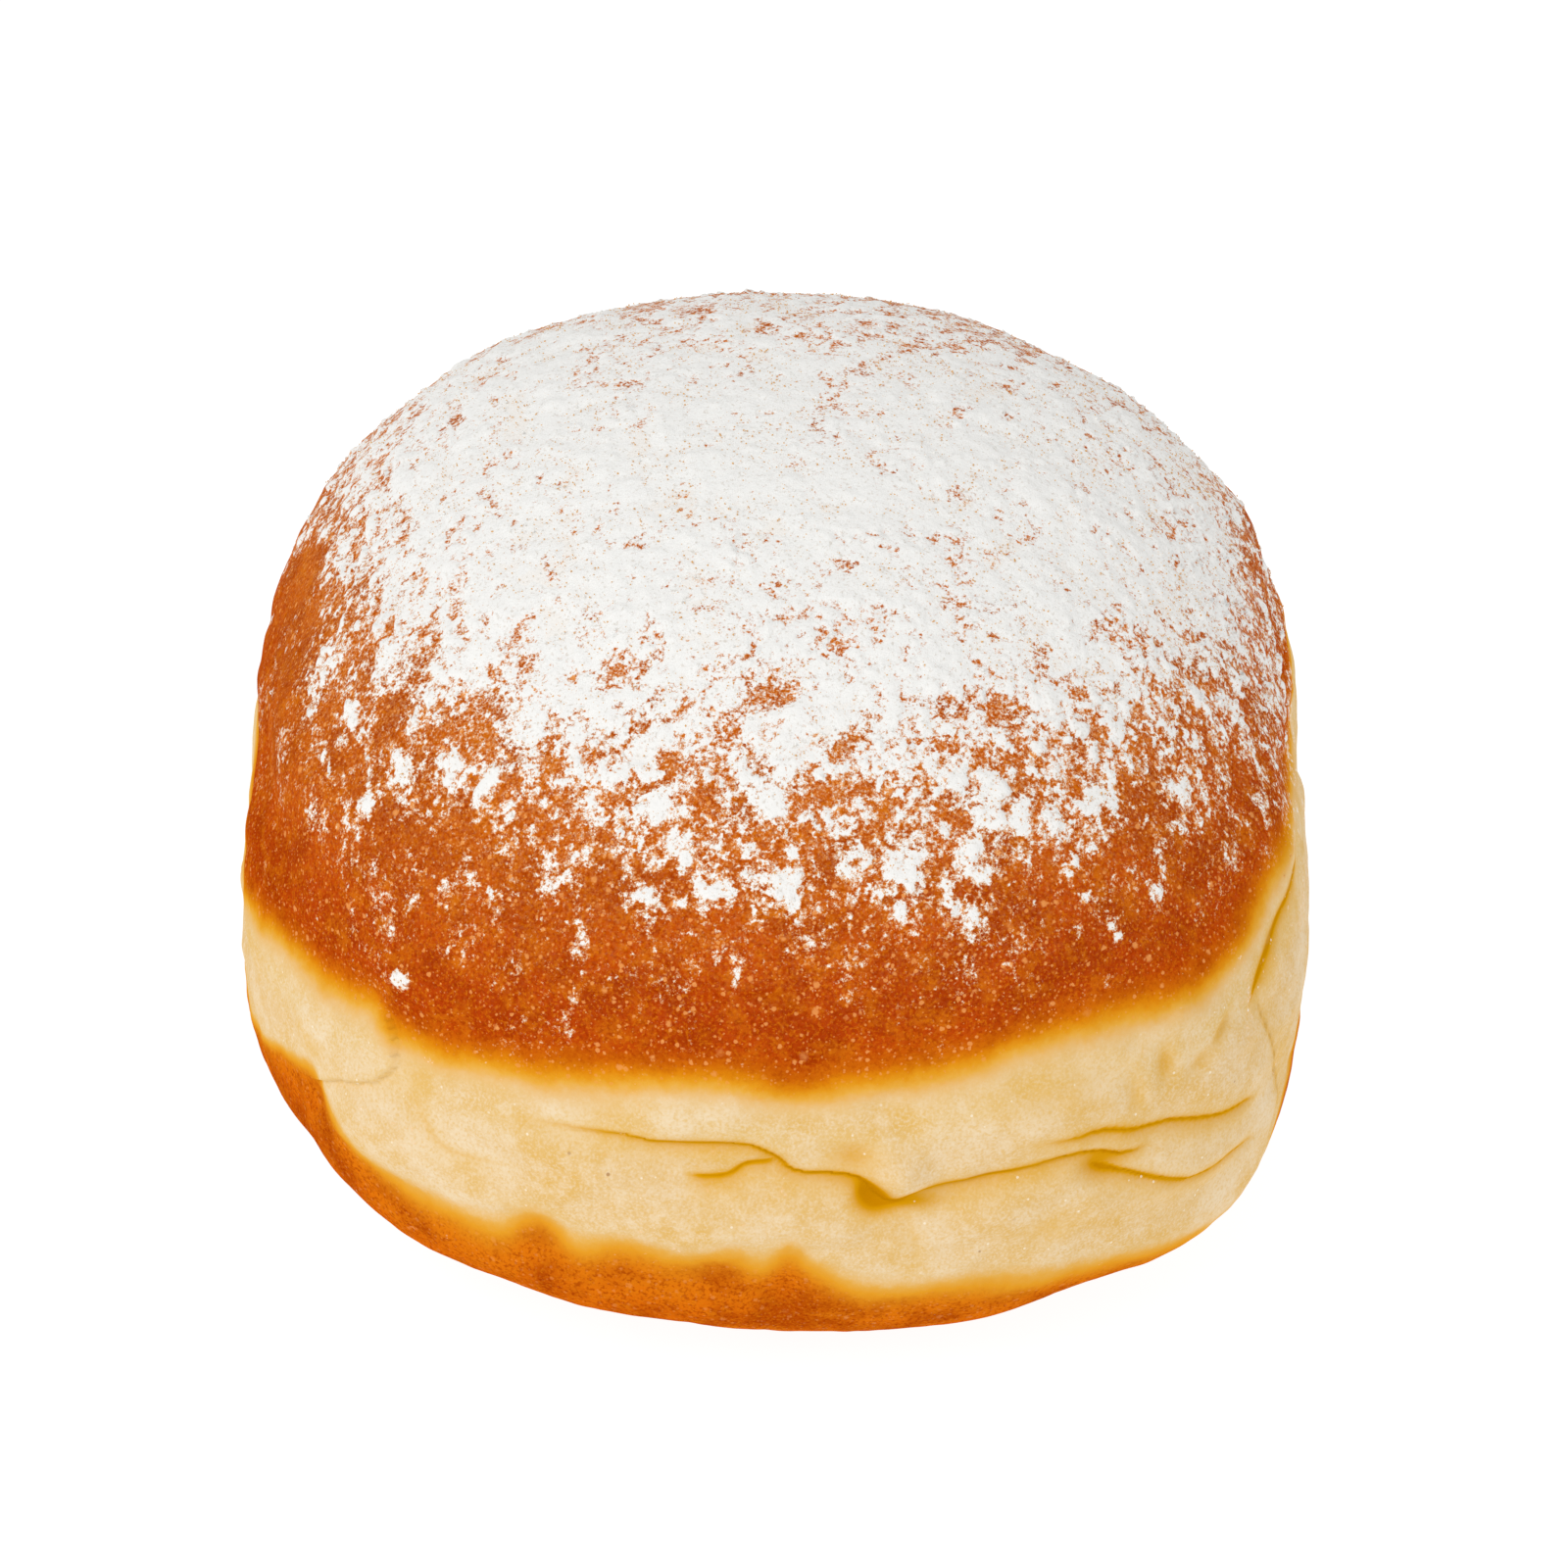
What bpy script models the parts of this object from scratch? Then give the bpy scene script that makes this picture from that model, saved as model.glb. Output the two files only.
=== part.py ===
"""Round filled doughnut, whole, with a browned dome, a pale folded belt and a browned base.

Metres, +Z up. The doughnut rests on its flat base, and the middle of the base of its
bounding box is the origin. The side with the hanging nose of dough faces -Y.
"""
import math
from typing import NamedTuple

import bmesh
import bpy
import numpy as np
from mathutils import Matrix, Vector

MM = 0.001

# Overall size in millimetres, with levels counted from the widest height
MEAN_RADIUS = 45.0
DOME_HEIGHT = 40.5
DOME_POWER = 2.3
BASE_DEPTH = 15.3
BASE_POWER = 3.6
REST_LEVEL = -14.9

# Plan outline: order, cosine part and sine part of each wave, as shares of the radius
PLAN_WAVES = (
    (2, -0.051, -0.013),
    (3, -0.004, 0.005),
    (4, -0.033, 0.003),
    (5, -0.008, 0.004),
)

# The belt leans: its level rises towards +X and towards -Y
BELT_LEAN_X = 0.092
BELT_LEAN_Y = -0.030
BELT_LOW = -5.5
BELT_HIGH = 18.5
FOLD_FADE = 9.0

# Mesh
SEGMENTS = 128
REST_RINGS = (10.0, 19.0)
BASE_ROWS = 6
BELT_ROWS = 27
DOME_ROWS = 10

# Dome unevenness: order round the axis, depth in millimetres and phase in degrees
DOME_WAVES = ((2, 0.25, 40.0), (3, 0.22, 165.0), (5, 0.16, 70.0))

# Unseen part of the belt
HIDDEN_SEED = 11
HIDDEN_START = -14.0
HIDDEN_END = 196.0
HIDDEN_CREASES = 6
HIDDEN_DIMPLES = 9


class Crease(NamedTuple):
    """A fold line with two rolls of dough meeting in it.

    points are (azimuth in degrees, level in mm). left and right are the widths of the
    rolls on the left and the right of the line's direction. The left roll stands proud
    by proud over run mm. ease_in and ease_out are the mm over which the ends fade.
    """

    points: tuple
    depth: float
    left: float
    right: float
    proud: float = 0.0
    run: float = 3.0
    ease_in: float = 4.0
    ease_out: float = 4.0


class Swell(NamedTuple):
    """A soft round bulge, or a dimple where height is negative, all but azimuth in mm."""

    azimuth: float
    level: float
    half_width: float
    half_height: float
    height: float


# Creases of the front, named by their place as seen from -Y
MAIN_CREASE = Crease(
    (
        (-119.0, 7.6), (-112.0, 9.0), (-103.0, 9.7), (-99.4, 9.1), (-92.4, 9.6),
        (-87.4, 7.4), (-82.0, 7.2), (-78.9, 4.9), (-75.0, 6.1), (-64.0, 7.0), (-54.0, 5.7),
    ),
    depth=1.0, left=2.2, right=3.6, proud=0.2, run=3.0, ease_in=15.0, ease_out=5.0,
)
FLAP_CREASE = Crease(
    ((-98.6, 8.9), (-96.2, 6.5), (-93.1, 7.0), (-88.0, 8.0)),
    depth=0.6, left=1.2, right=1.9, ease_in=2.0, ease_out=2.0,
)
RIGHT_UPPER_CREASE = Crease(
    ((-70.0, 9.0), (-59.6, 8.3), (-51.9, 6.4), (-41.6, 3.4), (-38.0, 2.4)),
    depth=0.95, left=2.2, right=2.8, proud=0.2, run=3.0, ease_in=7.0, ease_out=4.0,
)
RIGHT_LOWER_CREASE = Crease(
    ((-61.8, 6.3), (-57.8, 4.3), (-50.8, 1.2), (-43.8, 0.2), (-37.0, -1.4)),
    depth=0.95, left=2.4, right=3.0, proud=0.2, run=3.0, ease_in=3.0, ease_out=5.0,
)
RIGHT_UPPER_EDGE = Crease(
    ((-43.2, 11.0), (-39.0, 13.2), (-35.6, 14.7), (-30.0, 15.5), (-18.0, 15.2)),
    depth=0.9, left=2.4, right=4.8, ease_in=3.0, ease_out=9.0,
)
RIGHT_LOWER_EDGE = Crease(
    ((-32.0, -4.6), (-34.4, -0.4), (-36.8, 4.5), (-38.6, 8.4), (-40.6, 12.6)),
    depth=0.8, left=2.4, right=4.8, proud=0.3, run=5.0, ease_in=4.0, ease_out=3.0,
)
LEFT_LOBE_EDGE = Crease(
    (
        (-142.0, 0.0), (-136.4, 2.0), (-130.0, 5.0), (-125.8, 7.4),
        (-125.9, 9.5), (-127.4, 12.4),
    ),
    depth=0.4, left=2.4, right=2.6, proud=0.3, run=4.0, ease_in=8.0, ease_out=3.0,
)
LEFT_VALLEY = Crease(
    ((-125.0, 7.8), (-121.6, 5.8), (-117.0, 4.3), (-110.0, 5.6)),
    depth=0.4, left=2.8, right=2.8, ease_in=4.0, ease_out=6.0,
)
FRONT_CREASES = (
    MAIN_CREASE,
    FLAP_CREASE,
    RIGHT_UPPER_CREASE,
    RIGHT_LOWER_CREASE,
    RIGHT_UPPER_EDGE,
    RIGHT_LOWER_EDGE,
    LEFT_LOBE_EDGE,
    LEFT_VALLEY,
)

# Bulges and dimples of the front
FRONT_SWELLS = (
    Swell(-78.2, 7.4, 2.6, 2.1, 1.2),
    Swell(-68.0, 10.2, 6.0, 2.4, 0.4),
    Swell(-104.0, 3.0, 8.0, 3.4, 0.5),
    Swell(-90.0, 4.2, 7.0, 2.8, 0.35),
    Swell(-70.0, 2.2, 9.0, 3.0, 0.6),
    Swell(-127.0, 1.5, 6.0, 3.6, 0.6),
    Swell(-81.4, 5.6, 1.8, 1.6, -0.55),
    Swell(-82.0, 9.2, 2.2, 1.3, -0.5),
    Swell(-104.5, 11.8, 2.6, 1.0, -0.35),
    Swell(-45.8, 12.1, 1.5, 0.9, -0.6),
    Swell(-53.4, 12.1, 1.2, 1.6, -0.6),
    Swell(-64.8, 0.8, 1.9, 1.2, -0.35),
    Swell(-76.5, 1.0, 1.2, 3.0, -0.4),
    Swell(-88.0, -4.0, 1.8, 2.4, -0.6),
    Swell(-110.0, -0.5, 2.2, 2.0, -0.4),
)

# Flatter stretches of the outline, from the left round the front to the back right
BODY_FLATS = (
    Swell(-178.0, 6.8, 11.0, 9.5, -1.3),
    Swell(-140.0, -7.5, 7.0, 4.5, -0.9),
    Swell(-115.0, -9.5, 6.0, 3.5, -0.55),
    Swell(-98.0, -9.5, 4.0, 3.0, -0.35),
    Swell(-58.5, -8.5, 6.0, 4.5, -1.0),
    Swell(-31.0, -5.0, 8.0, 6.0, -0.75),
    Swell(-4.0, 11.0, 20.0, 8.0, -0.5),
    Swell(47.0, 29.5, 17.0, 9.0, -0.8),
)


def clear_scene():
    """Remove every object of the scene."""
    for old in list(bpy.data.objects):
        bpy.data.objects.remove(old, do_unlink=True)


def rise(value, low, high):
    """Ease from 0 at low to 1 at high."""
    share = np.clip((value - low) / (high - low), 0.0, 1.0)
    return share * share * (3.0 - 2.0 * share)


def turn_near(azimuth, middle):
    """Azimuth in degrees, moved by whole turns to lie within half a turn of middle."""
    return (azimuth - middle + 180.0) % 360.0 - 180.0 + middle


def profile_reach(level):
    """Radius of the upright profile at a level, as a share of the mean radius."""
    height = np.where(level >= 0.0, DOME_HEIGHT, BASE_DEPTH)
    power = np.where(level >= 0.0, DOME_POWER, BASE_POWER)
    share = np.clip(np.abs(level) / height, 0.0, 1.0)
    return np.clip(1.0 - share ** power, 0.0, 1.0) ** (1.0 / power)


def profile_points():
    """Radius and level in mm of the upright profile, from the base up to the top."""
    rest = MEAN_RADIUS * float(profile_reach(np.array(REST_LEVEL)))
    points = [(0.0, REST_LEVEL)]
    points += [(radius, REST_LEVEL) for radius in REST_RINGS]
    points.append((rest, REST_LEVEL))

    def angle_point(angle, height, power):
        radius = MEAN_RADIUS * math.cos(angle) ** (2.0 / power)
        return radius, height * math.sin(angle) ** (2.0 / power)

    start = math.acos((rest / MEAN_RADIUS) ** (BASE_POWER / 2.0))
    end = math.asin((-BELT_LOW / BASE_DEPTH) ** (BASE_POWER / 2.0))
    for row in range(1, BASE_ROWS):
        angle = start + (end - start) * row / BASE_ROWS
        radius, depth = angle_point(angle, BASE_DEPTH, BASE_POWER)
        points.append((radius, -depth))
    for row in range(BELT_ROWS + 1):
        level = BELT_LOW + (BELT_HIGH - BELT_LOW) * row / BELT_ROWS
        points.append((MEAN_RADIUS * float(profile_reach(np.array(level))), level))
    start = math.asin((BELT_HIGH / DOME_HEIGHT) ** (DOME_POWER / 2.0))
    for row in range(1, DOME_ROWS):
        angle = start + (math.pi / 2.0 - start) * row / DOME_ROWS
        points.append(angle_point(angle, DOME_HEIGHT, DOME_POWER))
    points.append((0.0, DOME_HEIGHT))
    return points


def plan_reach(azimuth):
    """Radius of the plan outline at an azimuth in degrees, as a share of the mean radius."""
    angle = np.radians(azimuth)
    reach = np.ones_like(angle)
    for order, cosine, sine in PLAN_WAVES:
        reach += cosine * np.cos(order * angle) + sine * np.sin(order * angle)
    return reach


def crease_relief(azimuth, level, crease):
    """Height in mm that one crease gives to the surface.

    Each point takes the nearest place on the fold line. A roll falls into the line along
    a quarter of an ellipse, so that two round rolls meet in a sharp furrow.
    """
    line = np.array(crease.points)
    arc = MEAN_RADIUS * math.pi / 180.0
    across = turn_near(azimuth, float(line[:, 0].mean())) * arc
    line = np.stack([line[:, 0] * arc, line[:, 1]], axis=1)
    steps = np.hypot(*np.diff(line, axis=0).T)
    walked = np.concatenate([[0.0], np.cumsum(steps)])
    best = np.full(azimuth.shape, 1e9)
    side = np.zeros(azimuth.shape)
    place = np.zeros(azimuth.shape)
    for start, end, length, done in zip(line[:-1], line[1:], steps, walked[:-1]):
        along = (end - start) / length
        dx, dz = across - start[0], level - start[1]
        share = np.clip(dx * along[0] + dz * along[1], 0.0, length)
        gap_x, gap_z = dx - share * along[0], dz - share * along[1]
        gap = np.hypot(gap_x, gap_z)
        near = gap < best
        best = np.where(near, gap, best)
        side = np.where(near, along[0] * gap_z - along[1] * gap_x, side)
        place = np.where(near, done + share, place)
    ends = rise(place, 0.0, crease.ease_in)
    ends *= 1.0 - rise(place, walked[-1] - crease.ease_out, walked[-1])
    width = np.where(side > 0.0, crease.left, crease.right)
    nearness = np.clip(1.0 - best / width, 0.0, 1.0)
    furrow = -crease.depth * (1.0 - np.sqrt(1.0 - nearness ** 2))
    lip = np.where(side > 0.0, crease.proud * np.exp(-best / crease.run), 0.0)
    return ends * (furrow + lip)


def swell_relief(azimuth, level, swell):
    """Height in mm that one bulge or dimple gives to the surface."""
    across = (turn_near(azimuth, swell.azimuth) - swell.azimuth) * math.pi / 180.0
    share = (across * MEAN_RADIUS / swell.half_width) ** 2
    share += ((level - swell.level) / swell.half_height) ** 2
    return swell.height * np.exp(-share)


def hidden_folds():
    """Creases and dimples of the unseen part of the belt, from a seeded generator."""
    draw = np.random.default_rng(HIDDEN_SEED)
    creases = []
    pitch = (HIDDEN_END - HIDDEN_START) / HIDDEN_CREASES
    for number in range(HIDDEN_CREASES):
        start = HIDDEN_START + pitch * number + draw.uniform(0.0, 6.0)
        level = draw.uniform(4.0, 9.0)
        points = []
        for step in range(5):
            points.append((start + step * pitch * 0.28, level))
            level += draw.uniform(-1.4, 1.4)
        creases.append(
            Crease(tuple(points), depth=draw.uniform(0.7, 1.1), left=2.0, right=2.6,
                   proud=0.2, ease_in=8.0, ease_out=8.0)
        )
    swells = []
    for number in range(HIDDEN_DIMPLES):
        azimuth = draw.uniform(HIDDEN_START, HIDDEN_END)
        height = draw.choice((-0.5, 0.6))
        swells.append(
            Swell(azimuth, draw.uniform(0.0, 13.0), draw.uniform(2.0, 6.0),
                  draw.uniform(1.2, 3.0), height)
        )
    return creases, swells


def relief(azimuth, level):
    """Height in mm of the surface over the smooth body.

    Creases act on the belt and die out over the dome, and with the swells they die out
    at the flat base. The waves act on the dome and die out towards the belt and at the top.
    """
    creases, swells = hidden_folds()
    height = np.zeros_like(azimuth)
    for crease in FRONT_CREASES + tuple(creases):
        height += crease_relief(azimuth, level, crease)
    height *= 1.0 - rise(level, BELT_HIGH, BELT_HIGH + FOLD_FADE)
    for swell in FRONT_SWELLS + BODY_FLATS + tuple(swells):
        height += swell_relief(azimuth, level, swell)
    height *= rise(level, REST_LEVEL, REST_LEVEL + 6.0)
    waves = np.zeros_like(azimuth)
    for order, depth, phase in DOME_WAVES:
        waves += depth * np.cos(order * np.radians(azimuth - phase))
    return height + waves * rise(level, 12.0, 24.0) * (1.0 - rise(level, 30.0, DOME_HEIGHT))


def shape_surface(points):
    """Move the points of the round body in mm to their places on the doughnut.

    The rings of the belt lean, the plan outline bends every ring in proportion to its
    radius, and the relief is laid along the outward direction of the round body.
    """
    azimuth = np.degrees(np.arctan2(points[:, 1], points[:, 0]))
    radius = np.hypot(points[:, 0], points[:, 1])
    level = points[:, 2]
    lean = BELT_LEAN_X * points[:, 0] + BELT_LEAN_Y * points[:, 1]
    lean *= rise(level, REST_LEVEL, BELT_LOW)
    lean *= 1.0 - rise(level, BELT_HIGH, DOME_HEIGHT)
    moved = level + lean
    share = radius / MEAN_RADIUS + profile_reach(moved) - profile_reach(level)
    share = np.where(radius > 0.0, share, 0.0)
    height = np.where(moved >= 0.0, DOME_HEIGHT, BASE_DEPTH)
    power = np.where(moved >= 0.0, DOME_POWER, BASE_POWER)
    out = share ** (power - 1.0) / MEAN_RADIUS
    up = np.sign(moved) * np.clip(np.abs(moved) / height, 0.0, 1.0) ** (power - 1.0) / height
    length = np.hypot(out, up)
    lift = relief(azimuth, moved)
    reach = MEAN_RADIUS * share * (1.0 + (plan_reach(azimuth) - 1.0) * share)
    reach += lift * out / length
    turn = np.radians(azimuth)
    return np.stack(
        [reach * np.cos(turn), reach * np.sin(turn), moved + lift * up / length], axis=1
    )


def add_material(name, colour, roughness):
    """Make a plain food material."""
    material = bpy.data.materials.new(name)
    material.use_nodes = True
    shader = material.node_tree.nodes["Principled BSDF"]
    shader.inputs["Base Color"].default_value = colour
    shader.inputs["Roughness"].default_value = roughness
    shader.inputs["Metallic"].default_value = 0.0
    return material


def build_doughnut():
    """Spin the upright profile, shape its surface and stand it on its base."""
    mesh = bpy.data.meshes.new("doughnut")
    body = bmesh.new()
    profile = [body.verts.new((radius, 0.0, level)) for radius, level in profile_points()]
    edges = [body.edges.new(pair) for pair in zip(profile[:-1], profile[1:])]
    bmesh.ops.spin(
        body, geom=profile + edges, cent=Vector((0.0, 0.0, 0.0)), axis=Vector((0.0, 0.0, 1.0)),
        angle=math.tau, steps=SEGMENTS, use_merge=True,
    )
    bmesh.ops.remove_doubles(body, verts=body.verts[:], dist=1e-4)
    bmesh.ops.recalc_face_normals(body, faces=body.faces[:])
    points = shape_surface(np.array([vert.co[:] for vert in body.verts]))
    low, high = points.min(axis=0), points.max(axis=0)
    points -= np.array([(low[0] + high[0]) / 2.0, (low[1] + high[1]) / 2.0, low[2]])
    for vert, place in zip(body.verts, points * MM):
        vert.co = Vector(place)
    bmesh.ops.triangulate(body, faces=body.faces[:])
    body.to_mesh(mesh)
    body.free()
    doughnut = bpy.data.objects.new("doughnut", mesh)
    doughnut.matrix_world = Matrix.Identity(4)
    bpy.context.scene.collection.objects.link(doughnut)
    mesh.materials.append(add_material("crust", (0.55, 0.16, 0.025, 1.0), 0.45))
    return doughnut


def main():
    """Build the doughnut in an empty scene."""
    clear_scene()
    build_doughnut()


main()
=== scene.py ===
"""Filled doughnut dusted with icing sugar: looks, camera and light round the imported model.

Units are metres, +Z is up. The sizes of the dough are held in millimetres. Azimuths are in
degrees, 0 towards +X and -90 towards the front. Levels are in mm from the widest height, as
in the model's own values. Spots on the dough are arrays of three rows: azimuth, radius in
mm and level on the plain profile, before it is bent and folded.
"""
from __future__ import annotations

import logging
import math
from dataclasses import dataclass, field, replace
from enum import Enum
from typing import Any

import bpy
import numpy as np
from mathutils import Matrix, Vector


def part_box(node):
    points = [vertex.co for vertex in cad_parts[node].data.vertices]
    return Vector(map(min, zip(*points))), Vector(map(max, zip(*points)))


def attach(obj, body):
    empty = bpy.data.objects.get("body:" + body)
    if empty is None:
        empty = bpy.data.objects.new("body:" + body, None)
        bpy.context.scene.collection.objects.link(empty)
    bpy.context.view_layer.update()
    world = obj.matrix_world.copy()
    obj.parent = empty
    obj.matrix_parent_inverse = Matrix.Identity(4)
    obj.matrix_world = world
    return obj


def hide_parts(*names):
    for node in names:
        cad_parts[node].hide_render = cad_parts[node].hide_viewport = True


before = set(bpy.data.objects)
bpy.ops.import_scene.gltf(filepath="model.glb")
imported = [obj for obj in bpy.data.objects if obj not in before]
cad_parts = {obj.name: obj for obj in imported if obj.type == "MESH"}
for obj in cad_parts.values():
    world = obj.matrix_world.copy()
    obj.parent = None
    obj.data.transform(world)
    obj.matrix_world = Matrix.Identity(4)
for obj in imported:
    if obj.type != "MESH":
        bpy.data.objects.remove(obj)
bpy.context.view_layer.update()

MM = 0.001
ROOT_BODY = "root"
DOUGH_NODE = "doughnut"
LOG = logging.getLogger("doughnut")
Array = np.ndarray
Socket = bpy.types.NodeSocket
Line = tuple[tuple[float, float], ...]


# Plain helpers


def rise(value: Array, low: float, high: float) -> Array:
    """Ease from 0 at low to 1 at high along 3t^2 - 2t^3."""
    share = np.clip((value - low) / (high - low), 0.0, 1.0)
    return share * share * (3.0 - 2.0 * share)


def turn_near(azimuth: Array, middle: float) -> Array:
    """Move azimuths by whole turns to within half a turn of middle."""
    return (azimuth - middle + 180.0) % 360.0 - 180.0 + middle


def linear(colour: str) -> tuple[float, ...]:
    """Turn an sRGB hex colour into linear red, green and blue with a full alpha."""
    shares = [int(colour[place:place + 2], 16) / 255.0 for place in (1, 3, 5)]
    return *(s / 12.92 if s <= 0.04045 else ((s + 0.055) / 1.055) ** 2.4 for s in shares), 1.0


# Odd numbers that scatter the bits of a whole number, and the bits that are kept
AXIS_PRIMES = np.array([73856093, 19349663, 83492791])
SEED_PRIME = 2654435761
BIT_MIXERS = ((13, 1274126177), (16, 668265263))
LOW_BITS = 0x7FFFFFFF


@dataclass(frozen=True)
class Noise:
    """A smooth random field in space that is the same on every run.

    It sums plain fields whose lattice spacing starts at cell and halves for each of the
    layers, and whose depth shrinks by gain each time. The sum spreads by about depth.
    """

    seed: int
    cell: float = 1.0
    layers: int = 1
    gain: float = 0.5
    depth: float = 1.0
    plain_spread: float = 0.33

    def corners(self, cells: Array) -> Array:
        """Hash whole-number lattice corners to numbers from -1 to 1.

        Args:
            cells: Corners, one per row.

        Returns:
            One number per corner.
        """
        first, second, third = (cells * AXIS_PRIMES).T
        mixed = (first ^ second ^ third ^ self.seed * SEED_PRIME) & LOW_BITS
        for shift, prime in BIT_MIXERS:
            mixed = (mixed ^ mixed >> shift) * prime & LOW_BITS
        return (mixed >> 8 & 0xFFFF) / 32767.5 - 1.0

    def plain(self, points: Array) -> Array:
        """Mix the eight corners round each point with eased shares of its place between them.

        Args:
            points: Points, one per row.

        Returns:
            Numbers from -1 to 1.
        """
        scaled = points / self.cell + self.seed * 7.31
        base = np.floor(scaled).astype(np.int64)
        part = scaled - base
        part = part * part * (3.0 - 2.0 * part)
        total = np.zeros(len(points))
        for corner in range(8):
            offset = np.array([corner >> axis & 1 for axis in range(3)])
            weight = np.prod(np.where(offset == 1, part, 1.0 - part), axis=1)
            total += weight * self.corners(base + offset)
        return total

    def at(self, points: Array) -> Array:
        """Sum the layers.

        Args:
            points: Points, one per row.

        Returns:
            One number per point.
        """
        total = np.zeros(len(points))
        depths = [self.gain ** layer for layer in range(self.layers)]
        for layer, depth in enumerate(depths):
            part = Noise(self.seed + 17 * layer, self.cell / 2.0 ** layer)
            total += depth * part.plain(points)
        power = math.sqrt(sum(depth * depth for depth in depths))
        return self.depth * total / (self.plain_spread * power)


def grid_quads(rows: int, columns: int, closed: bool = False) -> Array:
    """Corners of each cell of a grid whose points are numbered row by row.

    Args:
        rows: Rows of points.
        columns: Points in a row.
        closed: Whether the last point of a row joins the first.

    Returns:
        Four point numbers for each cell.
    """
    here = np.arange(columns if closed else columns - 1)[None, :]
    after = (here + 1) % columns
    row = np.arange(rows - 1)[:, None] * columns
    return np.stack([row + here, row + after, row + columns + after, row + columns + here],
                    axis=-1).reshape(-1, 4)


def mesh_object(name: str, points: Array, faces: list[Array],
                values: dict[str, Array] | None = None) -> bpy.types.Object:
    """Make a smooth-shaded mesh object at the origin and link it into the scene.

    Args:
        name: Object and mesh name.
        points: Points in metres, one per row.
        faces: Arrays of point numbers, one face per row.
        values: Point attributes by name, one number per point.

    Returns:
        The new object.
    """
    mesh = bpy.data.meshes.new(name)
    mesh.from_pydata(points.tolist(), [], [face for group in faces for face in group.tolist()])
    mesh.shade_smooth()
    mesh.validate()
    for key, numbers in (values or {}).items():
        layer = mesh.attributes.new(key, "FLOAT", "POINT")
        layer.data.foreach_set("value", numbers.astype(np.float32))
    made = bpy.data.objects.new(name, mesh)
    bpy.context.scene.collection.objects.link(made)
    return made


def line_level(azimuth: Array, line: Line) -> Array:
    """Height of a closed line at each azimuth, with eased curves through its points.

    Each stretch is the cubic whose ends have the slopes of the chords across them.

    Args:
        azimuth: Azimuths from -180 to 180.
        line: Azimuths and heights, the first and last a full turn apart.

    Returns:
        Heights in the line's unit.
    """
    places, levels = np.array(line).T
    wide = np.concatenate([[places[-2] - 360.0], places, [places[1] + 360.0]])
    high = np.concatenate([[levels[-2]], levels, [levels[1]]])
    slopes = (high[2:] - high[:-2]) / (wide[2:] - wide[:-2])
    index = np.clip(np.searchsorted(places, azimuth) - 1, 0, len(places) - 2)
    gap = places[index + 1] - places[index]
    part = (azimuth - places[index]) / gap
    square, cube = part * part, part ** 3
    return (levels[index] * (2.0 * cube - 3.0 * square + 1.0)
            + levels[index + 1] * (3.0 * square - 2.0 * cube)
            + slopes[index] * gap * (cube - 2.0 * square + part)
            + slopes[index + 1] * gap * (cube - square))


# Folds of the belt

MEAN_RADIUS = 45.0
DEGREE = MEAN_RADIUS * math.pi / 180.0  # length of a degree at the widest height, in mm


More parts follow.
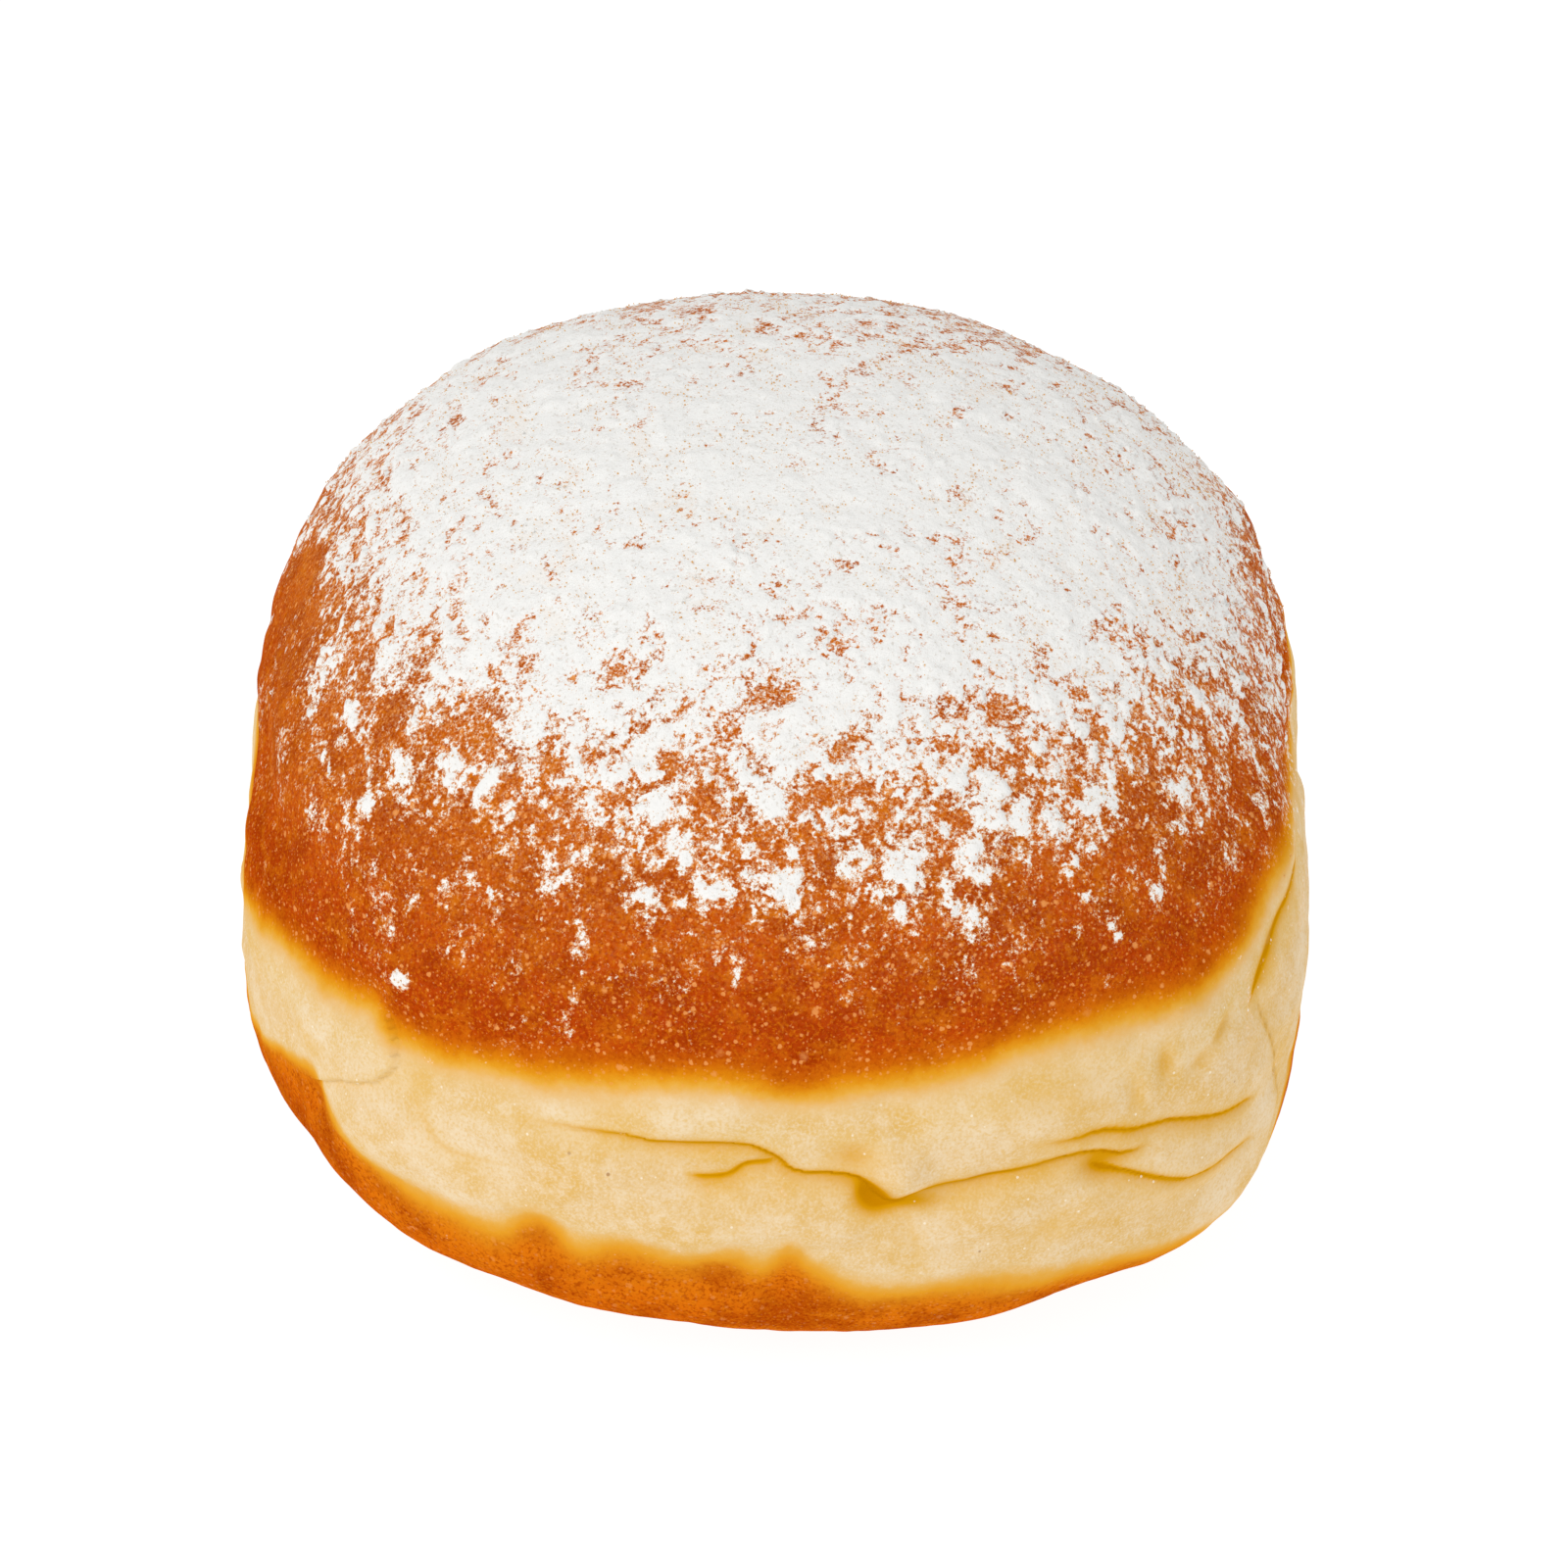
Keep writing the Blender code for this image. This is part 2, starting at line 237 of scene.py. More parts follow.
@dataclass(frozen=True)
class Crease:
    """A fold line where two rolls of dough meet.

    points are azimuths and levels. left and right are the widths in mm of the rolls on the
    left and right of the line's direction. The fold grows over ease_in mm and dies away
    over ease_out mm. painted_shade is how much ochre painted shade it shows, for the shade
    and the light seen through the dough in the fold. The left roll stands proud by proud
    over run mm and droops by droop mm over the line. rounding softens the line's bottom.
    The painted shade is darkest within core mm and fades over upper mm above and lower mm
    below.
    """

    points: Line
    depth: float
    left: float
    right: float
    ease_in: float
    ease_out: float
    # Ochre painted shade in the fold, for its shade and the light seen through the dough.
    painted_shade: float = 1.0
    proud: float = 0.0
    run: float = 2.6
    droop: float = 0.0
    rounding: float = 0.28
    core: float = 0.2
    upper: float = 0.65
    lower: float = 1.5

    def smooth(self, parts: int = 4) -> Array:
        """Round the line with cubics through its points.

        Args:
            parts: Pieces that each stretch is cut into.

        Returns:
            The finer line in mm along the widest height and mm of level.
        """
        line = np.array(self.points) * (DEGREE, 1.0)
        padded = np.concatenate([[2.0 * line[0] - line[1]], line, [2.0 * line[-1] - line[-2]]])
        share = (np.arange(parts) / parts)[None, :, None]
        a, b, c, d = (padded[k:len(padded) - 3 + k, None, :] for k in range(4))
        curve = 0.5 * (2.0 * b + (c - a) * share
                       + (2.0 * a - 5.0 * b + 4.0 * c - d) * share ** 2
                       + (3.0 * b - a - 3.0 * c + d) * share ** 3)
        return np.concatenate([curve.reshape(-1, 2), line[-1:]])

    def shape(self, azimuth: Array, level: Array) -> Array:
        """Lift, droop and stain that the crease gives.

        A point takes its nearest place on the line. Each roll falls into the line along a
        quarter of an ellipse, the left roll bulges down over it, and the painted shade, ochre
        for the shade in the fold, dies away from it, fast above and slowly below.

        Args:
            azimuth: Azimuths.
            level: Levels.

        Returns:
            Rows of outward lift in mm, droop in mm and painted shade from 0 to about 1.
        """
        coarse = np.array(self.points)
        across = turn_near(azimuth, float(coarse[:, 0].mean())) * DEGREE
        low, high = coarse.min(axis=0) * (DEGREE, 1.0), coarse.max(axis=0) * (DEGREE, 1.0)
        reach = max(self.left, self.right, 3.0 * self.run * (self.proud > 0.0), 5.0)
        near = np.all([across > low[0] - reach, across < high[0] + reach,
                       level > low[1] - reach, level < high[1] + reach], axis=0)
        shape = np.zeros((3, len(azimuth)))
        if not near.any():
            return shape
        line = self.smooth()
        steps = np.hypot(*np.diff(line, axis=0).T)
        walked = np.concatenate([[0.0], np.cumsum(steps)])
        best = np.full(near.sum(), np.inf)
        side, place = np.zeros((2, len(best)))
        for start, end, length, done in zip(line[:-1], line[1:], steps, walked):
            along = (end - start) / length
            dx, dz = across[near] - start[0], level[near] - start[1]
            share = np.clip(dx * along[0] + dz * along[1], 0.0, length)
            gap_x, gap_z = dx - share * along[0], dz - share * along[1]
            gap = np.hypot(gap_x, gap_z)
            closer = gap < best
            best = np.where(closer, gap, best)
            side = np.where(closer, along[0] * gap_z - along[1] * gap_x, side)
            place = np.where(closer, done + share, place)
        ends = rise(place, 0.0, self.ease_in)
        ends *= 1.0 - rise(place, walked[-1] - self.ease_out, walked[-1])
        above = side > 0.0
        width = np.where(above, self.left, self.right)
        nearness = np.clip(1.0 - np.hypot(best, self.rounding) / width, 0.0, 1.0)
        furrow = -self.depth * (1.0 - np.sqrt(1.0 - nearness ** 2))
        lip = self.proud * np.exp(-best / self.run) * above
        hang = self.droop * 4.0 * nearness * (1.0 - nearness) * above
        fade = np.where(above, self.upper, self.lower)
        # Painted shade: a dark core on the line and a glow that fades away from it.
        shade_profile = 0.5 * np.exp(-(best / self.core) ** 2) + 0.7 * np.exp(-(best / fade) ** 1.1)
        shape[:, near] = ends * np.stack([furrow + lip, hang,
                                          self.painted_shade * np.clip(shade_profile, 0.0, 1.0)])
        return shape


@dataclass(frozen=True)
class Swell:
    """A round bulge, or a dimple where height is negative, with its sizes in mm."""

    azimuth: float
    level: float
    half_width: float
    half_height: float
    height: float
    tilt: float = 0.0
    # Ochre painted shade that a dimple shows in its hollow.
    painted_shade: float = 0.45

    def lift(self, azimuth: Array, level: Array) -> Array:
        """Outward lift in mm, a bell over a slanted ellipse.

        Args:
            azimuth: Azimuths.
            level: Levels.

        Returns:
            One lift per point.
        """
        across = np.radians(turn_near(azimuth, self.azimuth) - self.azimuth) * MEAN_RADIUS
        rest = level - self.level - self.tilt * across
        share = (across / self.half_width) ** 2 + (rest / self.half_height) ** 2
        return self.height * np.exp(-share)


FRONT_CREASES = (
    Crease(((-119.0, 7.6), (-112.0, 9.0), (-103.0, 9.5), (-99.4, 9.3), (-92.4, 9.7),
            (-89.4, 9.0), (-87.4, 7.6), (-83.5, 7.4), (-81.2, 6.9), (-79.9, 5.3),
            (-78.4, 4.9), (-76.0, 5.9), (-71.0, 6.35), (-64.0, 7.0), (-60.5, 6.7),
            (-57.0, 5.9), (-53.0, 5.7)), 0.75, 2.4, 4.2, 18.0, 4.0, proud=0.15, droop=0.3),
    Crease(((-97.6, 7.0), (-95.9, 6.6), (-93.1, 7.0), (-91.4, 8.0), (-88.0, 8.2)),
           0.3, 1.2, 2.2, 2.0, 1.5, droop=0.15),
    Crease(((-70.0, 9.0), (-64.4, 8.8), (-59.6, 8.5), (-55.9, 7.5), (-51.9, 6.6),
            (-47.1, 5.2), (-43.0, 4.2), (-38.5, 2.4)),
           0.7, 2.6, 3.0, 8.0, 5.0, proud=0.15, droop=0.3),
    Crease(((-61.8, 6.3), (-60.3, 5.2), (-57.8, 4.3), (-54.0, 2.6), (-50.8, 1.2),
            (-47.5, 0.6), (-43.8, 0.2), (-37.5, -1.4)),
           0.7, 2.6, 3.6, 3.0, 6.0, proud=0.15, droop=0.25),
    Crease(((-43.2, 11.0), (-40.5, 12.3), (-37.8, 13.8), (-35.6, 14.7), (-31.0, 15.4),
            (-25.0, 15.6), (-18.0, 15.2)), 0.3, 2.4, 5.0, 4.0, 9.0, 1.3),
    Crease(((-32.0, -4.6), (-34.4, -0.4), (-36.8, 4.5), (-38.6, 8.4), (-40.0, 11.2),
            (-40.6, 12.6)), 0.4, 2.4, 5.0, 4.0, 3.0, 0.5, proud=0.15, run=4.0),
    Crease(((-142.0, 0.0), (-136.4, 2.0), (-132.3, 4.3), (-127.6, 6.4), (-125.5, 8.4),
            (-125.7, 10.0), (-126.6, 11.6), (-127.8, 12.6)),
           0.4, 2.6, 2.8, 8.0, 1.5, 0.35, proud=0.35, run=4.0),
    Crease(((-124.6, 8.0), (-121.8, 6.2), (-119.6, 4.6), (-117.0, 4.3), (-110.0, 5.4)),
           0.3, 3.0, 3.0, 5.0, 6.0, 0.4),
    Crease(((-77.8, 4.8), (-76.6, 1.5), (-75.4, -2.4)), 0.3, 2.4, 2.4, 1.5, 4.0, 0.3),
    Crease(((-93.8, 4.8), (-92.4, 3.6), (-90.5, 1.8)), 0.25, 2.0, 2.0, 2.5, 3.0, 0.35),
    Crease(((-140.2, 7.4), (-139.0, 6.2), (-136.0, 5.6), (-132.4, 6.8)),
           0.15, 2.0, 2.0, 3.0, 3.0, 0.25),
)

# Bulges and dimples of the front; the dimples show ochre painted shade in their hollows.
FRONT_SWELLS = tuple(Swell(*row) for row in (
    (-78.2, 7.4, 2.1, 1.8, 1.45), (-68, 10.2, 6, 2.4, 0.4), (-95, 8.3, 2.6, 0.9, 0.3),
    (-104, 3, 8, 3.4, 0.5), (-90, 4.2, 7, 2.8, 0.35), (-70, 2.2, 9, 3, 0.6),
    (-127, 1.5, 6, 3.6, 0.6), (-37, 13, 2, 2.2, 0.3), (-80.3, 5.5, 1.3, 1.4, -0.5, 0, 0.9),
    (-83.2, 6.6, 1.3, 0.8, -0.12, 0, 0.4), (-76.4, 4.6, 1.8, 0.7, -0.12, 0, 1.5),
    (-82.2, 9.1, 2, 1.1, -0.4, 0, 0.6), (-64, 12.6, 8, 2.2, -0.25, 0, 0.5),
    (-122.5, 8.6, 1.6, 2.4, -0.2, 0, 0.6), (-104.5, 11.8, 2.6, 1.2, -0.25),
    (-45.8, 11.9, 1.4, 0.75, -0.45, 0.5), (-53, 11.6, 0.8, 1.6, -0.45, -0.2),
    (-49.2, 10.5, 1.3, 0.8, -0.35, 0.3), (-56.5, 10.3, 0.8, 1.5, -0.3, -0.4),
    (-64.8, 0.8, 2.2, 1.4, -0.3), (-60.2, 5.3, 1.6, 1, -0.45), (-88, -4, 2, 2.4, -0.6),
    (-110, -0.5, 2.2, 2, -0.35),
))

# Flatter stretches of the outline, with no painted shade, from the left round the front to the
# back right
BODY_FLATS = tuple(Swell(*row, painted_shade=0.0) for row in (
    (-178, 6.8, 11, 9.5, -1.3), (-140, -7.5, 7, 4.5, -0.9), (-115, -9.5, 6, 3.5, -0.55),
    (-98, -9.5, 4, 3, -0.35), (-58.5, -8.5, 6, 4.5, -1), (-31, -5, 8, 6, -0.75),
    (-4, 11, 20, 8, -0.5), (47, 29.5, 17, 9, -0.8),
))


@dataclass(frozen=True)
class HiddenFolds:
    """Creases and swells of the side that the picture doesn't show, from a seeded draw."""

    seed: int = 11
    start: float = -14.0
    end: float = 196.0
    creases: int = 6
    swells: int = 9

    def draw(self) -> tuple[tuple[Crease, ...], tuple[Swell, ...]]:
        """Draw wandering creases one after another round the back, and swells among them.

        Returns:
            The creases and the swells.
        """
        draw = np.random.default_rng(self.seed)
        pitch = (self.end - self.start) / self.creases
        folds, bumps = [], []
        for number in range(self.creases):
            first = self.start + pitch * number + draw.uniform(0.0, 6.0)
            level = draw.uniform(4.0, 9.0)
            points = []
            for step in range(5):
                points.append((first + step * pitch * 0.28, level))
                level += draw.uniform(-1.4, 1.4)
            folds.append(Crease(tuple(points), draw.uniform(0.7, 1.1), 2.0, 2.4, 8.0, 8.0,
                                proud=0.2, run=3.0, droop=0.25))
        for _ in range(self.swells):
            azimuth = draw.uniform(self.start, self.end)
            height = float(draw.choice((-0.5, 0.6)))
            bumps.append(Swell(azimuth, draw.uniform(0.0, 13.0), draw.uniform(2.0, 6.0),
                               draw.uniform(1.2, 3.0), height))
        return tuple(folds), tuple(bumps)


# Lines round the dough where the browned crust ends, as azimuths and levels
CRUST_EDGE = (
    (-180, 9), (-166, 7), (-158, 6.6), (-150, 8.3), (-144.8, 9.6), (-139.2, 10.2),
    (-134.8, 10.5), (-129, 11.6), (-126.2, 10.4), (-124, 10.6), (-121, 10.8), (-117, 11.5),
    (-112, 12), (-106, 12.5), (-100, 13.6), (-93, 13.9), (-86.5, 13.2), (-81, 14), (-75, 14.5),
    (-66, 15.7), (-58.6, 15.9), (-51, 15.3), (-44, 15.6), (-38, 16.4), (-33, 17.3),
    (-24, 17.5), (-11, 16.2), (5, 15), (25, 16.4), (50, 14.6), (78, 15.4), (104, 12.6),
    (130, 13.2), (155, 10), (180, 9),
)
BASE_EDGE = (
    (-180, -3), (-165, -3.8), (-156, -3.4), (-149.5, -2), (-143.5, 0.5), (-140, 1.8),
    (-137, 3), (-135.6, 3), (-134.4, 1.4), (-132, 0.5), (-129.5, -0.7), (-126, -1.4),
    (-120, -1.6), (-113.5, -1.6), (-110, 0.5), (-106.5, -1), (-102, -0.2), (-96.5, -0.9),
    (-93, 0.1), (-89.8, -0.8), (-87.5, 0.6), (-85.2, -0.9), (-81.8, -2.6), (-76.5, -3.4),
    (-72, -3.3), (-65, -4), (-56, -5.4), (-51, -6.4), (-47, -7.4), (-43.5, -8.2), (-40, -8),
    (-36.5, -7.4), (-33.6, -5.8), (-31, -2.2), (-27, 1), (-20, -0.5), (-10, -3), (15, -2),
    (40, -4.2), (70, -2.4), (100, -3.8), (125, -2.2), (150, -4), (180, -3),
)


@dataclass
class Dough:
    """The doughnut's skin: a round body, a bent plan, a leaning belt and its folds.

    plan_waves are an order with its cosine and sine shares of the radius. dome_waves are
    an order, a depth in mm and a crest's azimuth. The browning at the base is sharper
    round crisp_at, by crisp over crisp_width degrees. front_share draws the columns
    together at the front.
    """

    dome_height: float = 40.5
    dome_power: float = 2.3
    base_depth: float = 15.3
    base_power: float = 3.6
    rest_level: float = -14.9
    plan_waves: tuple[tuple[int, float, float], ...] = (
        (2, -0.051, -0.013), (3, -0.004, 0.005), (4, -0.033, 0.003), (5, -0.008, 0.004))
    lean_x: float = 0.092
    lean_y: float = -0.030
    belt_low: float = -5.5
    belt_high: float = 18.5
    fold_fade: float = 9.0
    foot_fade: float = 6.0
    flattened: float = 1.7
    wrinkles: Noise = Noise(5, 8.0, 3, 0.45, 0.2)
    fine_wrinkles: Noise = Noise(6, 1.6, 2, 0.6, 0.012)
    dents: Noise = Noise(9, 6.0, 2, 0.5, 0.07)
    dome_waves: tuple[tuple[int, float, float], ...] = (
        (2, 0.25, 40.0), (3, 0.22, 165.0), (5, 0.16, 70.0))
    crisp_at: float = -150.0
    crisp: float = 1.4
    crisp_width: float = 13.0
    segments: int = 620
    front_share: float = 0.5
    rest_rows: int = 4
    base_rows: int = 11
    belt_rows: int = 100
    dome_rows: int = 44
    hidden: HiddenFolds = HiddenFolds()
    shift: Array = field(default_factory=lambda: np.zeros(3))

    def __post_init__(self) -> None:
        """Gather the folds and work out the dome's arc table."""
        creases, swells = self.hidden.draw()
        self.creases = FRONT_CREASES + creases
        self.swells = FRONT_SWELLS + BODY_FLATS + swells
        angle = np.linspace(math.pi / 2.0, 0.0, 2000)
        self.arc_radius = MEAN_RADIUS * np.cos(angle) ** (2.0 / self.dome_power)
        self.arc_level = self.dome_height * np.sin(angle) ** (2.0 / self.dome_power)
        steps = np.hypot(np.diff(self.arc_radius), np.diff(self.arc_level))
        self.arc = np.concatenate([[0.0], np.cumsum(steps)])

    def oval(self, level: Array) -> tuple[Array, Array]:
        """Half height in mm and power of the superellipse that each level is on."""
        return (np.where(level >= 0.0, self.dome_height, self.base_depth),
                np.where(level >= 0.0, self.dome_power, self.base_power))

    def profile_reach(self, level: Array) -> Array:
        """Radius of the upright profile, a superellipse above and another below.

        Args:
            level: Levels.

        Returns:
            Radii as shares of the mean radius.
        """
        height, power = self.oval(level)
        share = np.clip(np.abs(level) / height, 0.0, 1.0)
        return np.clip(1.0 - share ** power, 0.0, 1.0) ** (1.0 / power)

    def profile_rows(self) -> Array:
        """Radius and level of each ring of the skin, from the base's middle to the top.

        The flat base has even radii, the belt even levels, and the rounds between them
        even steps of the superellipse's angle.

        Returns:
            One row for each ring, poles included.
        """
        rest = MEAN_RADIUS * float(self.profile_reach(np.array(self.rest_level)))
        flat = np.linspace(0.0, rest, self.rest_rows)
        start = math.acos((rest / MEAN_RADIUS) ** (self.base_power / 2.0))
        end = math.asin((-self.belt_low / self.base_depth) ** (self.base_power / 2.0))
        turn = np.linspace(start, end, self.base_rows + 1)[1:-1]
        level = np.linspace(self.belt_low, self.belt_high, self.belt_rows)
        first = float(np.interp(-self.belt_high, -self.arc_level, self.arc))
        arc = np.linspace(first, 0.0, self.dome_rows + 1)[1:]
        return np.concatenate([np.stack(pair, axis=1) for pair in (
            (flat, np.full_like(flat, self.rest_level)),
            (MEAN_RADIUS * np.cos(turn) ** (2.0 / self.base_power),
             -self.base_depth * np.sin(turn) ** (2.0 / self.base_power)),
            (MEAN_RADIUS * self.profile_reach(level), level),
            (np.interp(arc, self.arc, self.arc_radius),
             np.interp(arc, self.arc, self.arc_level)))])

    def relief(self, azimuth: Array, level: Array, body: Array) -> tuple[Array, ...]:
        """All that raises or sinks the skin over the round body.

        Creases act on the belt and fade out over the dome and at the base, swells at the
        base alone. Layered fields wrinkle the soft belt, and long waves and shallow dents
        move the dome.

        Args:
            azimuth: Azimuths.
            level: Levels.
            body: The same points on the round body in mm.

        Returns:
            Outward lift in mm, droop in mm and painted shade.
        """
        lift, droop, painted_shade, bulge, hollow_shade, waves = np.zeros((6, len(azimuth)))
        for crease in self.creases:
            parts = crease.shape(azimuth, level)
            lift += parts[0]
            droop += parts[1]
            painted_shade = np.maximum(painted_shade, parts[2])
        for swell in self.swells:
            part = swell.lift(azimuth, level)
            bulge += part
            hollow_shade += swell.painted_shade * np.clip(-part, 0.0, None)
        squeezed = body * (1.0, 1.0, self.flattened)
        calm = 0.3 + 0.7 * rise(level, -10.0, -2.0)
        lift += calm * self.wrinkles.at(squeezed) + self.fine_wrinkles.at(squeezed)
        foot = rise(level, self.rest_level, self.rest_level + self.foot_fade)
        belt = foot * (1.0 - rise(level, self.belt_high, self.belt_high + self.fold_fade))
        lift = lift * belt + bulge * foot
        # Painted shade of the creases and of the dimples' hollows.
        painted_shade = np.clip(painted_shade + np.clip(hollow_shade / 0.45, 0.0, 0.65), 0.0, 1.3)
        for order, depth, phase in self.dome_waves:
            waves += depth * np.cos(order * np.radians(azimuth - phase))
        waves *= 1.0 - rise(level, 30.0, self.dome_height)
        lift += (waves + self.dents.at(body)) * rise(level, 12.0, 24.0)
        return lift, droop * belt, painted_shade * belt

    def skin(self, spots: Array) -> tuple[Array, Array, dict[str, Array]]:
        """Place spots of the plain profile on the finished skin.

        The rings of the belt lean, the plan bends each ring in proportion to its radius by
        1 plus a sum of cosine and sine waves of the azimuth, and the relief is laid along
        the outward direction of the superellipse.

        Args:
            spots: Spots on the dough.

        Returns:
            Points in mm from the widest level's middle, outward directions, and the
            finish values browning, underside and painted_shade of each point, the last an
            ochre painted shade of the folds and hollows.
        """
        azimuth, radius, level = spots
        turn = np.radians(azimuth)
        cosine, sine = np.cos(turn), np.sin(turn)
        lean = radius * (self.lean_x * cosine + self.lean_y * sine)
        lean *= rise(level, self.rest_level, self.belt_low)
        lean *= 1.0 - rise(level, self.belt_high, self.dome_height)
        moved = level + lean
        share = radius / MEAN_RADIUS + self.profile_reach(moved) - self.profile_reach(level)
        share = np.where(radius > 0.0, share, 0.0)
        height, power = self.oval(moved)
        out = share ** (power - 1.0) / MEAN_RADIUS
        up = np.sign(moved) * np.clip(np.abs(moved) / height, 0.0, 1.0) ** (power - 1.0)
        up = up / height
        length = np.hypot(out, up)
        out, up = out / length, up / length
        plan = sum(wave[1] * np.cos(wave[0] * turn) + wave[2] * np.sin(wave[0] * turn)
                   for wave in self.plan_waves)
        reach = MEAN_RADIUS * share * (1.0 + plan * share)
        body = np.stack([reach * cosine, reach * sine, moved], axis=1)
        lift, droop, painted_shade = self.relief(azimuth, moved, body)
        reach = reach + lift * out
        points = np.stack([reach * cosine, reach * sine, moved + lift * up - droop], axis=1)
        normals = np.stack([out * cosine, out * sine, up], axis=1)
        top = moved - line_level(azimuth, CRUST_EDGE)
        off = (turn_near(azimuth, self.crisp_at) - self.crisp_at) / self.crisp_width
        base = (line_level(azimuth, BASE_EDGE) - moved) * (1.0 + self.crisp * np.exp(-off ** 2))
        # The last value is the ochre painted shade of the folds and hollows.
        values = {"browning": np.maximum(top, base),
                  "underside": rise(base - top, -4.0, 4.0), "painted_shade": painted_shade}
        return points, normals, values

    def to_model(self, points: Array) -> Array:
        """Points in mm from the widest level's middle, as metres in the model's frame."""
        return (points + self.shift) * MM

    def dome_spots(self, across: Array, along: Array) -> Array:
        """Turn places on a flat map of the dome into spots on the dough.

        The map keeps each place's azimuth and its arc distance from the top.

        Args:
            across: Map places towards +X in mm.
            along: Map places towards +Y in mm.

        Returns:
            The spots.
        """
        arc = np.hypot(across, along)
        return np.stack([np.degrees(np.arctan2(along, across)),
                         np.interp(arc, self.arc, self.arc_radius),
                         np.interp(arc, self.arc, self.arc_level)])

    def build(self, sugar: "SugarField") -> bpy.types.Object:
        """Make the skin as one closed mesh, stand it on its base and give it its values.

        A column's azimuth is its share of the turn minus a part of that share's sine, and
        the azimuths are counted from the front.

        Args:
            sugar: Where icing sugar lies.

        Returns:
            The dough's object.
        """
        rows = self.profile_rows()
        share = np.arange(self.segments) / self.segments - 0.5
        bent = share - self.front_share * np.sin(math.tau * share) / math.tau
        azimuth = (360.0 * bent - 90.0 + 180.0) % 360.0 - 180.0
        rings = rows[1:-1]
        spots = np.stack([np.tile(azimuth, len(rings)), *rings.T.repeat(self.segments, axis=1)])
        spots = np.column_stack([[0.0, *rows[0]], spots, [0.0, *rows[-1]]])
        points, _, values = self.skin(spots)
        low, high = points.min(axis=0), points.max(axis=0)
        cad_low, cad_high = (np.array(corner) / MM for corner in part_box(DOUGH_NODE))
        self.shift = (cad_low + cad_high - low - high) / 2.0
        self.shift[2] = cad_low[2] - low[2]
        values["sugar"] = sugar.amount(spots, fine=False)[0]
        quads = 1 + grid_quads(len(rings), self.segments, closed=True)
        last = len(points) - 1
        ring = np.arange(self.segments)
        after = (ring + 1) % self.segments
        rim = last - self.segments
        base_fan = np.stack([np.zeros_like(ring), 1 + after, 1 + ring], axis=1)
        top_fan = np.stack([np.full_like(ring, last), rim + ring, rim + after], axis=1)
        return mesh_object("doughnut_dough", self.to_model(points),
                           [quads, base_fan, top_fan], values)


# Icing sugar


@dataclass(frozen=True)
class Clump:
    """A clump of sugar on the crust, or a bare window where amount is negative.

    Its place is an azimuth and an arc distance from the top, its sizes are the width and
    the length down the slope, in mm.
    """

    azimuth: float
    arc: float
    width: float
    length: float
    amount: float = 3.3


CLUMPS = tuple(Clump(*row) for row in (
    (-64.8, 37.9, 4.6, 5), (-77, 43.2, 3.2, 6.4), (-90.2, 42.8, 3.6, 4.8),
    (-102.8, 43.3, 3.1, 3.8), (-68.2, 41.6, 2.8, 4.1), (-53.2, 41.2, 3.8, 3.2),
    (-24.8, 46.8, 2.8, 3.4), (-124, 37.7, 2, 3.4), (-104, 36.6, 2, 3.4), (-82, 40.9, 1.8, 3.2),
    (-148.5, 39.1, 2.6, 2), (-30, 39.8, 2, 3), (-159.5, 39.6, 1.8, 2.8),
    (-100.2, 39.3, 2.5, 2.8), (-95, 42.4, 1.8, 2.5), (-129.8, 37.3, 2, 1.8),
    (-49.8, 49.2, 1.6, 2.1), (-70, 46.3, 1.6, 1.8), (-42.8, 42.8, 1.6, 1.6),
    (-56, 49.9, 1.5, 1.6), (-138, 42.6, 1.9, 1.9), (-125.5, 52.2, 2.1, 2, 3.6),
    (-93.5, 47.4, 1.1, 3.4, 3.4), (-58, 52.8, 1.4, 2.5, 2.6), (-127.2, 46.3, 1.6, 2.1, 2.8),
    (-123.5, 45.3, 2, 2.5, 2.8), (-108, 48.8, 1.6, 5, 2.2), (-90, 27.2, 4.2, 3.4, -1.9),
    (-80.8, 31.5, 2.8, 2.4, -1.5), (-60.2, 31.3, 3.2, 2.2, -2), (-141.2, 37.2, 3.2, 3, -1.6),
    (178, 42, 7, 9, -1.6),
))

# Arc distance from the top at which half of the crust shows, as (azimuth, mm)
SUGAR_EDGE = (
    (-180, 33), (-165, 31.8), (-145, 31.4), (-125, 32), (-105, 32), (-90, 32.4), (-75, 33.1),
    (-60, 33.2), (-45, 33.8), (-30, 36), (-20, 40.5), (-10, 45), (5, 46), (20, 44), (40, 38),
    (60, 33), (90, 31), (115, 32), (140, 35.5), (160, 36.5), (180, 33),
)

# Millimetres over which the sugar thins by one step of its amount, as (azimuth, mm)
SUGAR_FADE = (
    (-180, 4.5), (-150, 6.2), (-115, 7), (-80, 7.5), (-45, 11), (-10, 18), (30, 15), (90, 7),
    (150, 4), (180, 4.5),
)

# Amount by which the dust below the edge falls in the end, as (azimuth, amount)
SUGAR_TAIL = (
    (-180, 1.9), (-150, 1.8), (-120, 1.9), (-85, 1.9), (-50, 1.6), (-20, 0.9), (20, 0.9),
    (90, 2), (180, 2.1),
)


@dataclass(frozen=True)
class Heaps:
    """Round heaps of one kind on the sugar's map, at most one in each square cell.

    cell is the side of the cells, least and most are radii, all in mm. chance is that of a
    heap well inside the sugar.
    """

    cell: float
    least: float
    most: float
    chance: float
    seed: int


